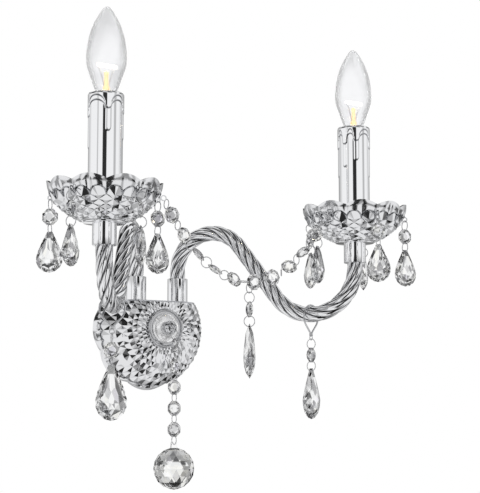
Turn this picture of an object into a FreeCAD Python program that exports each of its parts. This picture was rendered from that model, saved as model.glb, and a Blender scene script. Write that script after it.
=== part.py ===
"""A two-lamp crystal wall light: a diamond-cut wall dish, two twisted S arms, drip cups, candle
tubes with bulbs, hanging crystal strings, a garland between the cups and a chain under the boss.

Everything is in millimetres. +X runs right along the wall, +Y into the wall and +Z up. The origin
is on the wall plane, on the axis of the round dish. Pieces that are round on the real light are
drawn with a fixed number of flats, so that the whole model stays light.
"""
import FreeCAD, Part
import math
import os

# ---- Driving dimensions -------------------------------------------------------------------

# Where the lamps and the arm roots stand
LAMP_X = 132.7            # each candle axis, left and right of the middle
LAMP_REACH = 168.9        # candle axes, out from the wall
ROOT_X = 23.4             # each arm root, left and right of the middle
ROOT_REACH = 20.6         # arm roots, out from the wall

# Wall dish
DISH_R = 59.7             # rim, at the top of a petal
DISH_PETALS = 8
DISH_GEMS = 24            # diamonds in each row
DISH_PETAL_DIP = 3.5      # how far the rim draws in between two petals
DISH_BAND_R = 55.3        # where the smooth band ends and the cutting begins
DISH_CUT_R = 54.5         # foot of the round-headed first row
DISH_BAND = 7.0           # width of the smooth band, out from the wall
DISH_ARCH = 5.0           # depth of the round-headed first row
DISH_DEPTH = 37.0         # wall to the front of the dish
DISH_FRONT_R = 17.5       # foot of the cutting, under the rosette
DISH_FLOOR_R = 24.0       # flat inside, behind the front
DISH_BULGE = 8.6          # how far its side swells past a straight cone
DISH_WALL = 2.2
DISH_ROWS = 6

# Bracket, strap and the fixings behind the dish
PLATE_Z = 27.4            # top of the bracket's plate, which closes the cut dish
PLATE_T = 1.5
FLANGE_W = 28.0           # upright flange of the bracket
FLANGE_DROP = 36.0        # its lower end, below the middle
STRAP_T = 2.0
STRAP_L = 90.0
STRAP_H = 15.0
SLOT_SPACING = 60.0       # between the two wall slots
SLOT_L = 14.0             # end to end
SLOT_W = 5.2
STUD_R = 3.0              # M6 stud through the middle
STUD_CLEAR = 0.2
STUD_GRIP = 6.0           # how far it runs into the ball nut
NUT_R = 5.77              # M6 nut, across corners
NUT_H = 5.0
BLOCK_SIZE = (24.0, 13.0, 14.0)   # terminal block: wide, deep and high
BLOCK_TOP = -17.0
BLOCK_PORTS = 3
BLOCK_PORT = 3.6

# Rosette, dome and ball nut on the front
ROSETTE_R = 19.2
ROSETTE_T = 1.6
ROSETTE_H = 3.4           # to the top of its lip
ROSETTE_LIP = 2.4
DOME_R = 14.8
DOME_H = 4.6
DOME_WALL = 1.8
BALL_NUT_R = 6.8
BALL_NUT_FOOT_R = 5.4
EYE_OUT = 56.5            # chain eye, out from the wall

# Twisted arms
ARM_R = 7.5               # crest of a rope strand
ARM_GROOVE_R = 6.6
ARM_STRANDS = 6
ARM_PITCH = 88.0          # length of one full turn of the twist
ARM_STEP = 10.0           # between two drawn sections
ARM_BORE_R = 4.8
ARM_BORE_SIDES = 6
ARCH_BEND = 36.7          # radius of the upper bend
ARCH_BEND_Z = 58.4        # height of its centre
LOW_BEND = 44.2           # radius of the lower bend
LOW_BEND_Z = 56.2

# Sleeves, nipples and cables
ROOT_SLEEVE_R = 10.0
ROOT_SLEEVE_H = 23.3
SLEEVE_CLEAR = 0.25       # round the arm
CUP_SLEEVE_R = 10.4
CUP_SLEEVE_Z = 59.8       # its open lower end
CUP_SLEEVE_CAP = 2.0      # closed top
NIPPLE_R = 4.0            # M8 tube
NIPPLE_BORE_R = 2.8
NIPPLE_CLEAR = 0.15
NIPPLE_GRIP = 9.0         # inside the arm
NIPPLE_END = 8.0          # past the plate, or above the cup's floor
NIPPLE_NUT_R = 7.2
NIPPLE_NUT_H = 3.6
SEAT_R = 18.4
SEAT_T = 1.5
LEAD_R = 1.5              # cable inside the arm
LEAD_STEP = 17.0
LEAD_SIDES = 5
LEAD_TAIL = 6.0           # past each end of the arm's fittings

# Drip cups
CUP_FOOT_Z = 80.0         # underside
CUP_H = 29.7              # underside to the rim between two petals
CUP_PETAL_RISE = 4.2      # how far a petal stands above that
CUP_R = 49.5
CUP_PETALS = 10
CUP_GEMS = 20
CUP_PETAL_DIP = 1.2
CUP_BAND_R = 47.2
CUP_CUT_R = 42.5
CUP_BAND = 5.7
CUP_ARCH = 7.0
CUP_FOOT_R = 18.9
CUP_FLOOR_R = 19.4
CUP_BULGE = 1.6
CUP_WALL = 2.0
CUP_FLOOR = 2.0
CUP_ROWS = 6
CUP_TURN = 11.0           # how far the left cup is turned, mirrored on the right
GEM_RISE = 0.12           # height of each cut diamond, as a share of its width
ROW_TAPER = 0.88          # each row of diamonds is this much lower than the one above
INSIDE_LEVELS = (0.0, 0.35, 0.6)  # how far down the side the inner wall is drawn

# Candle tube
TUBE_R = 14.7
TUBE_WALL = 1.5
TUBE_LIP_R = 11.9         # opening at its top
TUBE_TOP_Z = 191.0
TUBE_SHOULDER = 2.6       # rounded top edge
DRIP_W = 3.4
DRIP_OUT = 0.9            # how far a moulded drip stands out
DRIPS = {                 # (angle from straight out, length) of each drip
    "left": ((-107.0, 49.0), (-19.0, 35.0), (53.0, 41.0), (118.0, 44.0), (185.0, 38.0)),
    "right": ((-117.0, 49.0), (-72.0, 40.0), (-28.0, 34.0), (42.0, 49.0), (112.0, 38.0), (178.0, 44.0)),
}

# Lampholder and bulb
HOLDER_R = 12.2
HOLDER_BASE_H = 5.0
HOLDER_STEM_R = 6.4
SOCKET_R = 9.4
SOCKET_TOP_Z = 183.0
SOCKET_DEPTH = 20.0
SOCKET_FLOOR = 4.0
BULB_CAP_R = 6.9          # E14 cap
BULB_CAP_H = 22.0
BULB_CAP_CLEAR = 0.15
BULB_GLASS = 0.8
BULB_PROFILE = (          # (radius, height above the tube's top)
    (6.6, -5.0), (11.2, 0.0), (14.0, 8.0), (15.8, 16.0), (17.5, 28.0), (14.5, 44.0),
    (11.9, 54.0), (8.4, 63.5), (4.4, 71.5),
)
BULB_TIP = 76.2           # above the tube's top
FILAMENT_Z = 23.5         # above the tube's top
FILAMENT_W = 15.0
FILAMENT_WIRE = 0.8
STEM_R = 3.0
STEM_H = 20.0

# Crystals and the wire links that join them
BEAD_W = 14.0             # octagon, across flats
BEAD_T = 5.0
BEAD_TABLE = 6.0          # flat on each face, across flats
BEAD_SIDES = 8
HOLE = 2.2
HOLE_IN = 5.1             # bead's middle to a hole's middle
WIRE = 0.8
WIRE_CLEAR = 0.1
LINK_R = 4.8              # link's middle to the middle of its wire
CHAIN_LINK_R = 4.3
LINK_SIDES = 8
EYE_R = 2.1               # small eyelets
EYE_CLEAR = 0.25
DROP_W = 24.0             # cup pendants
DROP_H = 35.0
DROP_T = 9.0
BIG_DROP_W = 28.0         # arm and garland pendants
BIG_DROP_H = 48.0
BIG_DROP_T = 10.0
DROP_HOLE_IN = 3.1        # pendant's top to its hole's middle
DROP_OUTLINE = (          # (half width, height down), as shares of the pendant's sizes
    (0.20, 0.0), (0.56, 0.27), (0.88, 0.50), (1.0, 0.69), (0.72, 0.90),
)
DROP_TABLE = 0.5          # face flat, as a share of the outline
DROP_TABLE_MIDDLE = 0.64  # height the flat shrinks to, as a share of the pendant
BALL_SIDES = 12
BALL_PROFILE = (          # (radius, height down from the top) of the ball under the chain
    (2.9, 0.0), (3.4, 4.4), (11.0, 8.6), (17.4, 15.5), (19.6, 24.5), (17.2, 33.5), (10.4, 41.0),
)
BALL_H = 45.0
BALL_NECK = 4.4           # its flat neck: high
BALL_NECK_T = 1.7         # and thick
CHAIN_BEADS = 5
CHAIN_TURNS = (24.0, 48.0, 34.0, 20.0, 10.0, 0.0, 0.0, 0.0, 0.0, 0.0, 0.0, 0.0)

# Strings round the cups: angle round the left cup from straight out, and each string's own turn
STRING_NAMES = ("back_string", "side_string", "front_string", "near_string", "inner_string")
STRING_ANGLES = (-133.0, -61.0, 11.0, 83.0, 155.0)
STRING_TURNS = {
    "left": (0.0, 0.0, -34.0, 10.0, 0.0),
    "right": (0.0, 22.0, 40.0, 18.0, -31.0),
}
EYELET_Z = 101.8
EYELET_OUT = 48.3         # loop's middle, out from the cup's axis
PIN_IN = 41.4             # inner end of its pin

# Garland between the cups
GARLAND_ANGLE = 69.0      # its eyelets, round the left cup
GARLAND_EYELET_OUT = 50.2
GARLAND_TURNS = (0.0, 10.0, 58.0, 75.0, 25.0, 0.0, 5.0, 40.0, 80.0, 45.0)
GARLAND_LENGTH = 228.3    # along the links and beads
GARLAND_REST = 0.75       # how far its end links rest below the middle of their eyelets
DROP_BEAD = 6             # the middle drop hangs from this bead's left hole
DROP_TURNS = (0.0, -8.0, -16.0, -22.0, -28.0)

# Drops under the arms
LOOP_RUN = 140.0          # root to loop, along the arm's plan
LOOP_R = 11.3             # rounded top of the wire loop, to the wire's middle
LOOP_H = 27.6             # top to the lower point, likewise
LOOP_CORNERS = 13         # round its top
LOOP_WIRE = 1.8
LOOP_CLEAR = 0.35         # over the arm
LOOP_FACING = 18.6        # which way the loop and its crystals face, from straight out
CRIMP = (3.6, 2.4, 3.0)   # clip that closes the loop: wide, deep and high

# How many flats stand for a full circle
ROUND = 20
SMALL_ROUND = 16
TINY_ROUND = 12
NUT_SIDES = 6

# ---- Sizes that follow from the ones above ------------------------------------------------

PLATE_UNDER = PLATE_Z - PLATE_T
RUN_X = LAMP_X - ROOT_X
RUN_Y = LAMP_REACH - ROOT_REACH
ARM_REACH = math.hypot(RUN_X, RUN_Y)
SEAT_Z = CUP_FOOT_Z - SEAT_T
ARM_TOP_Z = SEAT_Z - CUP_SLEEVE_CAP
CUP_FLOOR_Z = CUP_FOOT_Z + CUP_FLOOR
HOLDER_Z = CUP_FLOOR_Z + NIPPLE_NUT_H
FLANGE_FACE = STRAP_T + PLATE_T
DOME_FOOT = DISH_DEPTH + ROSETTE_T
DOME_FRONT = DOME_FOOT + DOME_H
BALL_NUT_OUT = DOME_FRONT + math.sqrt(BALL_NUT_R ** 2 - BALL_NUT_FOOT_R ** 2)
BEAD_GRIP = HOLE_IN + HOLE / 2 - WIRE / 2 - WIRE_CLEAR
DROP_GRIP = DROP_HOLE_IN - HOLE / 2 + WIRE / 2 + WIRE_CLEAR
EYE_DROP = EYE_R - WIRE - EYE_CLEAR
SOCKET_FLOOR_Z = SOCKET_TOP_Z - SOCKET_DEPTH
BULB_FOOT_Z = SOCKET_FLOOR_Z + BULB_CAP_CLEAR
GLASS_FOOT_Z = BULB_FOOT_Z + BULB_CAP_H
SIDES = {"left": -1.0, "right": 1.0}

X_AXIS = FreeCAD.Vector(1, 0, 0)
Y_AXIS = FreeCAD.Vector(0, 1, 0)
UP = FreeCAD.Vector(0, 0, 1)
ORIGIN = FreeCAD.Vector(0, 0, 0)


# ---- Helpers ------------------------------------------------------------------------------

def polar(radius, degrees, height):
    """A point round the upright axis, by angle from +X."""
    angle = math.radians(degrees)
    return FreeCAD.Vector(radius * math.cos(angle), radius * math.sin(angle), height)


def closed_solid(faces):
    """A solid from flat faces, each a loop of corners. Corners that repeat are left out."""
    sheets = []
    for corners in faces:
        loop = [c for i, c in enumerate(corners) if c.distanceToPoint(corners[i - 1]) > 1e-6]
        if len(loop) > 2:
            sheets.append(Part.Face(Part.makePolygon(loop + loop[:1])))
    solid = Part.Solid(Part.Shell(sheets))
    if solid.Volume < 0:
        solid.reverse()
    return solid


def walls(lower, upper):
    """Flat four-sided faces between two rings of as many points."""
    count = len(lower)
    return [
        [lower[i], lower[(i + 1) % count], upper[(i + 1) % count], upper[i]]
        for i in range(count)
    ]


def bent_walls(lower, upper):
    """Pairs of triangles between two rings whose four-sided faces would not be flat."""
    faces = []
    for a, b, c, d in walls(lower, upper):
        faces.append([a, b, c])
        faces.append([a, c, d])
    return faces


def fan_walls(many, few):
    """Triangles between a ring of many points and one with a whole share of them."""
    share = len(many) // len(few)
    faces = []
    for i, corner in enumerate(few):
        start = i * share - share // 2
        spread = [many[(start + step) % len(many)] for step in range(share + 1)]
        faces.extend([a, b, corner] for a, b in zip(spread, spread[1:]))
        faces.append([spread[-1], few[(i + 1) % len(few)], corner])
    return faces


def turned(profile, sides):
    """A turned piece on the upright axis. The profile is a closed loop of (radius, height)."""
    rings = [[polar(r, 360.0 * i / sides, h) for i in range(sides)] for r, h in profile]
    faces = []
    for ring, following in zip(rings, rings[1:] + rings[:1]):
        faces.extend(walls(ring, following))
    return closed_solid(faces)


def tube(outer, inner, low, high, sides=ROUND):
    return turned([(outer, low), (outer, high), (inner, high), (inner, low)], sides)


def rod(radius, low, high, sides):
    return turned([(radius, low), (radius, high), (0.0, high), (0.0, low)], sides)


def facing_out(shape):
    """Lays a piece that was drawn upright on the dish's axis, with its top out from the wall."""
    shape.rotate(ORIGIN, X_AXIS, 90)
    return shape


def placed(shape, middle, up, face):
    """A copy with its own Z along up and its own Y, which it faces along, towards face."""
    z = FreeCAD.Vector(up).normalize()
    x = FreeCAD.Vector(face).cross(z).normalize()
    y = z.cross(x)
    matrix = FreeCAD.Matrix(
        x.x, y.x, z.x, middle.x,
        x.y, y.y, z.y, middle.y,
        x.z, y.z, z.z, middle.z,
        0, 0, 0, 1,
    )
    copy = shape.copy()
    copy.Placement = FreeCAD.Placement(matrix)
    return copy


def about(direction, axis, degrees):
    """A direction turned about an axis."""
    return FreeCAD.Rotation(axis, degrees).multVec(direction)


def outward(degrees):
    """The level direction at an angle from straight out of the wall, positive to the right."""
    return about(FreeCAD.Vector(0, -1, 0), UP, degrees)


def box_round(middle, wide, deep, high):
    corner = middle - FreeCAD.Vector(wide / 2, deep / 2, high / 2)
    return Part.makeBox(wide, deep, high, corner)


def moved(shape, offset):
    copy = shape.copy()
    copy.translate(offset)
    return copy


def write(name, solids):
    """Writes one node: its file's name is the piece's name."""
    shape = solids[0] if len(solids) == 1 else Part.makeCompound(solids)
    shape.exportStep("parts/" + name + ".step")


# ---- Diamond-cut bowls: the drip cups and the wall dish -----------------------------------

class Bowl:
    """A moulded bowl on the upright axis: a smooth petalled band, a round-headed row and diamonds.

    fall is -1 where the foot is below the rim and +1 where it is above. rows is even.
    """

    def __init__(self, petals, gems, rim, dip, rise, band, cut, foot, bulge, rows, fall):
        self.petals = petals
        self.gems = gems
        self.pitch = 360.0 / gems
        self.rim_r, self.rim_z = rim
        self.dip = dip
        self.rise = rise
        self.band_r, self.band_z = band
        self.cut_r, self.cut_z = cut
        self.foot_r, self.foot_z = foot
        self.bulge = bulge
        self.rows = rows
        self.fall = fall

    def curve(self, share):
        """(radius, height) down the cut side, from the first row's feet to the bowl's foot."""
        run = self.foot_r - self.cut_r
        drop = self.foot_z - self.cut_z
        swell = self.bulge * math.sin(math.pi * share) / math.hypot(run, drop)
        radius = self.cut_r + run * share + swell * abs(drop)
        height = self.cut_z + drop * share + self.fall * swell * abs(run)
        return radius, height

    def side(self, share, out=0.0):
        """The same, standing off the side by out."""
        radius, height = self.curve(share)
        further_r, further_z = self.curve(share + 0.01)
        run = radius - further_r
        drop = abs(further_z - height)
        length = math.hypot(run, drop)
        return radius + out * drop / length, height + self.fall * out * run / length

    def share(self, row):
        return (1 - ROW_TAPER ** row) / (1 - ROW_TAPER ** self.rows)

    def rim(self, inset, points):
        """The petalled edge, drawn in by inset."""
        ring = []
        for i in range(points):
            angle = 360.0 * i / points
            petal = abs(math.sin(math.radians(angle * self.petals / 2)))
            radius = self.rim_r - self.dip * (1 - petal) - inset
            ring.append(polar(radius, angle, self.rim_z - self.fall * self.rise * petal))
        return ring

    def arch_line(self, points):
        """The wavy line where the band meets the round-headed row. Its dips are at whole pitches."""
        ring = []
        for i in range(points):
            across = (i % 4) / 2.0 - 1.0
            lift = math.sqrt(max(0.0, 1 - across ** 2))
            radius = self.cut_r + (self.band_r - self.cut_r) * lift
            height = self.cut_z + (self.band_z - self.cut_z) * lift
            ring.append(polar(radius, 360.0 * i / points, height))
        return ring

    def corner(self, row, step):
        """A corner of the diamond net. Odd rows are half a diamond on."""
        radius, height = self.side(self.share(row))
        return polar(radius, (step + row % 2 / 2.0) * self.pitch, height)

    def peak(self, row, step):
        """The raised middle of the diamond that is widest at this row."""
        share = self.share(row)
        width = 2 * math.pi * self.side(share)[0] / self.gems
        radius, height = self.side(share, GEM_RISE * width)
        return polar(radius, (step + (row + 1) % 2 / 2.0) * self.pitch, height)

    def outside(self):
        points = 4 * self.gems
        arch = self.arch_line(points)
        faces = bent_walls(self.rim(0.0, points), arch)
        for i in range(self.gems):
            head = [arch[(4 * i + step) % points] for step in range(5)]
            edge = head + [self.corner(1, i)]
            faces.extend([edge[k - 1], edge[k], self.peak(0, i)] for k in range(6))
        for row in range(1, self.rows):
            ahead = (row + 1) % 2
            for i in range(self.gems):
                edge = [
                    self.corner(row - 1, i),
                    self.corner(row, i + ahead),
                    self.corner(row + 1, i),
                    self.corner(row, i + ahead - 1),
                ]
                faces.extend([edge[k - 1], edge[k], self.peak(row, i)] for k in range(4))
        for i in range(self.gems):
            last = [self.corner(self.rows, i), self.corner(self.rows, i + 1)]
            faces.append(last + [self.corner(self.rows - 1, i)])
        return faces

    def inside(self, wall, floor_r, floor_z, hole_r):
        """The top of the rim, the smooth inner wall, the floor and the middle hole."""
        outer = self.rim(0.0, 4 * self.gems)
        inner = self.rim(wall, 2 * self.gems)
        faces = fan_walls(outer, inner)
        rings = [inner]
        for share in INSIDE_LEVELS:
            radius, height = self.side(share, -wall)
            rings.append([polar(radius, i * self.pitch, height) for i in range(self.gems)])
        for radius, height in ((floor_r, floor_z), (hole_r, floor_z), (hole_r, self.foot_z)):
            rings.append([polar(radius, i * self.pitch, height) for i in range(self.gems)])
        rings.append([self.corner(self.rows, i) for i in range(self.gems)])
        faces.extend(fan_walls(rings[0], rings[1]))
        for ring, following in zip(rings[1:], rings[2:]):
            faces.extend(walls(ring, following))
        return faces

    def solid(self, wall, floor_r, floor_z, hole_r):
        return closed_solid(self.outside() + self.inside(wall, floor_r, floor_z, hole_r))


def cup_bowl():
    rim_z = CUP_FOOT_Z + CUP_H
    return Bowl(
        CUP_PETALS, CUP_GEMS, (CUP_R, rim_z), CUP_PETAL_DIP, CUP_PETAL_RISE,
        (CUP_BAND_R, rim_z - CUP_BAND), (CUP_CUT_R, rim_z - CUP_BAND - CUP_ARCH),
        (CUP_FOOT_R, CUP_FOOT_Z), CUP_BULGE, CUP_ROWS, -1,
    )


def dish_bowl():
    return Bowl(
        DISH_PETALS, DISH_GEMS, (DISH_R, 0.0), DISH_PETAL_DIP, 0.0,
        (DISH_BAND_R, DISH_BAND), (DISH_CUT_R, DISH_BAND + DISH_ARCH),
        (DISH_FRONT_R, DISH_DEPTH), DISH_BULGE, DISH_ROWS, 1,
    )


def drip_cup(side):
    """One drip cup, with a pin hole for each eyelet."""
    cup = cup_bowl().solid(CUP_WALL, CUP_FLOOR_R, CUP_FLOOR_Z, NIPPLE_R + NIPPLE_CLEAR)
    cup.rotate(ORIGIN, UP, -90 - SIDES[side] * CUP_TURN)
    cup.translate(lamp_axis(side))
    pin = WIRE + 2 * WIRE_CLEAR
    reach = EYELET_OUT - PIN_IN
    drill = box_round(ORIGIN, pin, 2 * reach, pin)
    holes = []
    for direction, _, crosswise in eyelets(side):
        middle = lamp_axis(side) + direction * PIN_IN + UP * pin_height(crosswise)
        holes.append(placed(drill, middle, UP, direction))
    return cup.cut(Part.makeCompound(holes))


def wall_dish():
    """The wall dish, cut flat under the bracket's plate."""
    bore = STUD_R + STUD_CLEAR
    dish = dish_bowl().solid(DISH_WALL, DISH_FLOOR_R, DISH_DEPTH - DISH_WALL, bore)
    dish.rotate(ORIGIN, UP, 180.0 / DISH_PETALS)
    facing_out(dish)
    above = box_round(FreeCAD.Vector(0, 0, PLATE_UNDER + DISH_R), 4 * DISH_R, 4 * DISH_R, 2 * DISH_R)
    return dish.cut(above)


# ---- Bracket, strap and fixings -----------------------------------------------------------

def plate_outline():
    """Corners of the bracket's plate, which covers the opening of the cut dish."""
    bowl = dish_bowl()
    stations = [(bowl.rim_r - bowl.dip / 2, STRAP_T), (bowl.band_r, bowl.band_z)]
    stations.extend(bowl.side(share) for share in (0.0, 0.2, 0.4, 0.6))
    half = [(math.sqrt(r ** 2 - PLATE_UNDER ** 2), out) for r, out in stations]
    front = [(x, -out) for x, out in half]
    mirrored = [(-x, -out) for x, out in reversed(half)]
    return front + mirrored


def bracket():
    outline = plate_outline()
    low = [FreeCAD.Vector(x, y, PLATE_UNDER) for x, y in outline]
    high = [FreeCAD.Vector(x, y, PLATE_Z) for x, y in outline]
    plate = closed_solid(walls(low, high) + [low, high])
    for x in (-ROOT_X, ROOT_X):
        hole = rod(NIPPLE_R + NIPPLE_CLEAR, PLATE_UNDER - 1, PLATE_Z + 1, TINY_ROUND)
        plate = plate.cut(moved(hole, FreeCAD.Vector(x, -ROOT_REACH, 0)))
    flange_h = PLATE_UNDER + FLANGE_DROP
    middle = FreeCAD.Vector(0, -STRAP_T - PLATE_T / 2, PLATE_UNDER - flange_h / 2)
    flange = box_round(middle, FLANGE_W, PLATE_T, flange_h)
    bore = facing_out(rod(STUD_R + STUD_CLEAR, 0.0, 2 * FLANGE_FACE, TINY_ROUND))
    return plate.fuse(flange.cut(bore)).removeSplitter()


def strap():
    """The strap that is screwed to the wall box, with its two slots and the stud's hole."""
    bar = box_round(FreeCAD.Vector(0, -STRAP_T / 2, 0), STRAP_L, STRAP_T, STRAP_H)
    straight = SLOT_L - SLOT_W
    for x in (-SLOT_SPACING / 2, SLOT_SPACING / 2):
        bar = bar.cut(box_round(FreeCAD.Vector(x, -STRAP_T / 2, 0), straight, 2 * STRAP_T, SLOT_W))
        for end in (x - straight / 2, x + straight / 2):
            start = FreeCAD.Vector(end, 1, 0)
            bar = bar.cut(Part.makeCylinder(SLOT_W / 2, STRAP_T + 2, start, -Y_AXIS))
    bore = Part.makeCylinder(STUD_R + STUD_CLEAR, STRAP_T + 2, FreeCAD.Vector(0, 1, 0), -Y_AXIS)
    return bar.cut(bore)


def terminal_block():
    wide, deep, high = BLOCK_SIZE
    middle = FreeCAD.Vector(0, -FLANGE_FACE - deep / 2, BLOCK_TOP - high / 2)
    block = box_round(middle, wide, deep, high)
    for i in range(BLOCK_PORTS):
        offset = (i - (BLOCK_PORTS - 1) / 2.0) * wide / BLOCK_PORTS
        port = box_round(middle + X_AXIS * offset, BLOCK_PORT, BLOCK_PORT, 2 * high)
        block = block.cut(port)
    return block


def rosette():
    """The petalled plate under the dome: a flat with a raised lip."""
    lip_r = ROSETTE_R - ROSETTE_LIP
    profile = [
        (ROSETTE_R, DISH_DEPTH), (ROSETTE_R, DISH_DEPTH + ROSETTE_H - 1.0),
        (ROSETTE_R - 1.2, DISH_DEPTH + ROSETTE_H), (lip_r, DISH_DEPTH + ROSETTE_T),
        (STUD_R + STUD_CLEAR, DISH_DEPTH + ROSETTE_T), (STUD_R + STUD_CLEAR, DISH_DEPTH),
    ]
    return facing_out(turned(profile, ROUND))


def dome():
    """The hollow dome on the rosette."""
    bore = STUD_R + STUD_CLEAR
    profile = [
        (DOME_R, DOME_FOOT), (DOME_R * 0.93, DOME_FOOT + DOME_H * 0.45),
        (DOME_R * 0.72, DOME_FOOT + DOME_H * 0.82), (BALL_NUT_FOOT_R + 1.0, DOME_FRONT),
        (bore, DOME_FRONT), (bore, DOME_FRONT - DOME_WALL),
        (DOME_R * 0.6, DOME_FRONT - DOME_WALL), (DOME_R * 0.8, DOME_FOOT),
    ]
    return facing_out(turned(profile, ROUND))


def ball_nut():
    """The domed nut on the stud's end, with the eye that the centre chain hangs from."""
    profile = [(STUD_R + STUD_CLEAR, DOME_FRONT), (BALL_NUT_FOOT_R, DOME_FRONT)]
    for degrees in (-22.0, 6.0, 34.0, 62.0):
        angle = math.radians(degrees)
        profile.append((BALL_NUT_R * math.cos(angle), BALL_NUT_OUT + BALL_NUT_R * math.sin(angle)))
    profile.append((0.0, BALL_NUT_OUT + BALL_NUT_R))
    profile.append((0.0, DOME_FRONT + STUD_GRIP))
    profile.append((STUD_R + STUD_CLEAR, DOME_FRONT + STUD_GRIP))
    ball = facing_out(turned(profile, SMALL_ROUND))
    eye_middle = chain_pin() - UP * (WIRE + EYE_CLEAR) + UP * EYE_R
    eye = placed(ring(EYE_R), eye_middle, UP, Y_AXIS)
    start = BALL_NUT_OUT + BALL_NUT_R - 1.0
    length = EYE_OUT - start
    root = eye_middle + UP * EYE_R + Y_AXIS * (length / 2)
    shank = box_round(root, WIRE, length, WIRE)
    return ball.fuse(shank).fuse(eye)


def chain_pin():
    """Middle of the wire that hangs the centre chain from its eye."""
    return FreeCAD.Vector(0, -EYE_OUT, -2 * EYE_R + WIRE + EYE_CLEAR)


# ---- Arms and what runs through them ------------------------------------------------------

def arm_path(low, high, step):
    """Stations along an arm in its upright plane: (run, height, slope in degrees, length so far).

    The centre line is upright in the root sleeve, turns over the arch, runs down straight, turns
    up through the low bend and is upright again into the cup sleeve.
    """
    low_run = ARM_REACH - LOW_BEND
    base = math.atan2(LOW_BEND_Z - ARCH_BEND_Z, low_run - ARCH_BEND)
    between = math.hypot(low_run - ARCH_BEND, LOW_BEND_Z - ARCH_BEND_Z)
    slope = math.degrees(base - math.asin((ARCH_BEND + LOW_BEND) / between))
    lengths = [
        ARCH_BEND_Z - low,
        math.radians(90.0 - slope) * ARCH_BEND,
        math.sqrt(between ** 2 - (ARCH_BEND + LOW_BEND) ** 2),
        math.radians(90.0 - slope) * LOW_BEND,
        high - LOW_BEND_Z,
    ]
    stations = []
    done = 0.0
    for part, length in enumerate(lengths):
        count = max(1, int(round(length / step)))
        for i in range(count + (part == len(lengths) - 1)):
            along = length * i / count
            if part == 0:
                spot = (0.0, low + along, 90.0)
            elif part == 1:
                turn = 180.0 - math.degrees(along / ARCH_BEND)
                spot = bend_spot(ARCH_BEND, ARCH_BEND_Z, ARCH_BEND, turn, turn - 90.0)
            elif part == 2:
                turn = 90.0 + slope
                run, height, _ = bend_spot(ARCH_BEND, ARCH_BEND_Z, ARCH_BEND, turn, 0.0)
                angle = math.radians(slope)
                spot = (run + along * math.cos(angle), height + along * math.sin(angle), slope)
            elif part == 3:
                turn = 270.0 + slope + math.degrees(along / LOW_BEND)
                spot = bend_spot(low_run, LOW_BEND_Z, LOW_BEND, turn, turn - 270.0)
            else:
                spot = (ARM_REACH, LOW_BEND_Z + along, 90.0)
            stations.append(spot + (done + along,))
        done += length
    return stations


def bend_spot(middle_run, middle_z, radius, degrees, slope):
    angle = math.radians(degrees)
    return middle_run + radius * math.cos(angle), middle_z + radius * math.sin(angle), slope


def arm_heading(side):
    """Level direction from the arm's root to its lamp."""
    return FreeCAD.Vector(SIDES[side] * RUN_X, -RUN_Y, 0).normalize()


def arm_root(side):
    return FreeCAD.Vector(SIDES[side] * ROOT_X, -ROOT_REACH, 0)


def lamp_axis(side):
    return FreeCAD.Vector(SIDES[side] * LAMP_X, -LAMP_REACH, 0)


def arm_section(side, station, radii, twist):
    """Corners of a cut square to the arm, by their radii, turned about the arm's own line."""
    run, height, slope, _ = station
    heading = arm_heading(side)
    across = heading.cross(UP)
    angle = math.radians(slope)
    over = UP * math.cos(angle) - heading * math.sin(angle)
    middle = arm_root(side) + heading * run + UP * height
    corners = []
    for i, radius in enumerate(radii):
        turn = math.radians(360.0 * i / len(radii) + twist)
        corners.append(middle + across * (radius * math.cos(turn)) + over * (radius * math.sin(turn)))
    return corners


def arm(side):
    """The hollow arm: six rope strands wound round the bent tube."""
    stations = arm_path(PLATE_Z, ARM_TOP_Z, ARM_STEP)
    strands = [ARM_R, ARM_GROOVE_R] * ARM_STRANDS
    bore = [ARM_BORE_R] * ARM_BORE_SIDES
    skin = [arm_section(side, s, strands, -360.0 * s[3] / ARM_PITCH) for s in stations]
    hollow = [arm_section(side, s, bore, 0.0) for s in stations]
    faces = []
    for sections in (skin, hollow):
        for section, following in zip(sections, sections[1:]):
            faces.extend(bent_walls(section, following))
    for end in (0, -1):
        faces.extend(fan_walls(skin[end], hollow[end]))
    return closed_solid(faces)


def lead(side):
    """The cable from the bracket, up the arm and out of its top nipple."""
    low = PLATE_UNDER - NIPPLE_END - LEAD_TAIL
    high = CUP_FLOOR_Z + NIPPLE_END + LEAD_TAIL
    radii = [LEAD_R] * LEAD_SIDES
    sections = [arm_section(side, s, radii, 0.0) for s in arm_path(low, high, LEAD_STEP)]
    faces = [sections[0], sections[-1]]
    for section, following in zip(sections, sections[1:]):
        faces.extend(bent_walls(section, following))
    return closed_solid(faces)


def nipples_and_nuts():
    """Both pairs of threaded tubes and the nuts on their ends."""
    tubes = []
    nuts = []
    for side in SIDES:
        root = arm_root(side)
        axis = lamp_axis(side)
        low = PLATE_UNDER - NIPPLE_END
        tubes.append(moved(tube(NIPPLE_R, NIPPLE_BORE_R, low, PLATE_Z + NIPPLE_GRIP, TINY_ROUND), root))
        high = CUP_FLOOR_Z + NIPPLE_END
        tubes.append(moved(tube(NIPPLE_R, NIPPLE_BORE_R, ARM_TOP_Z - NIPPLE_GRIP, high, TINY_ROUND), axis))
        bore = NIPPLE_R + NIPPLE_CLEAR
        lower = PLATE_UNDER - NIPPLE_NUT_H
        nuts.append(moved(hex_nut(NIPPLE_NUT_R, bore, lower, PLATE_UNDER), root))
        nuts.append(moved(hex_nut(NIPPLE_NUT_R, bore, CUP_FLOOR_Z, HOLDER_Z), axis))
    return tubes, nuts


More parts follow.
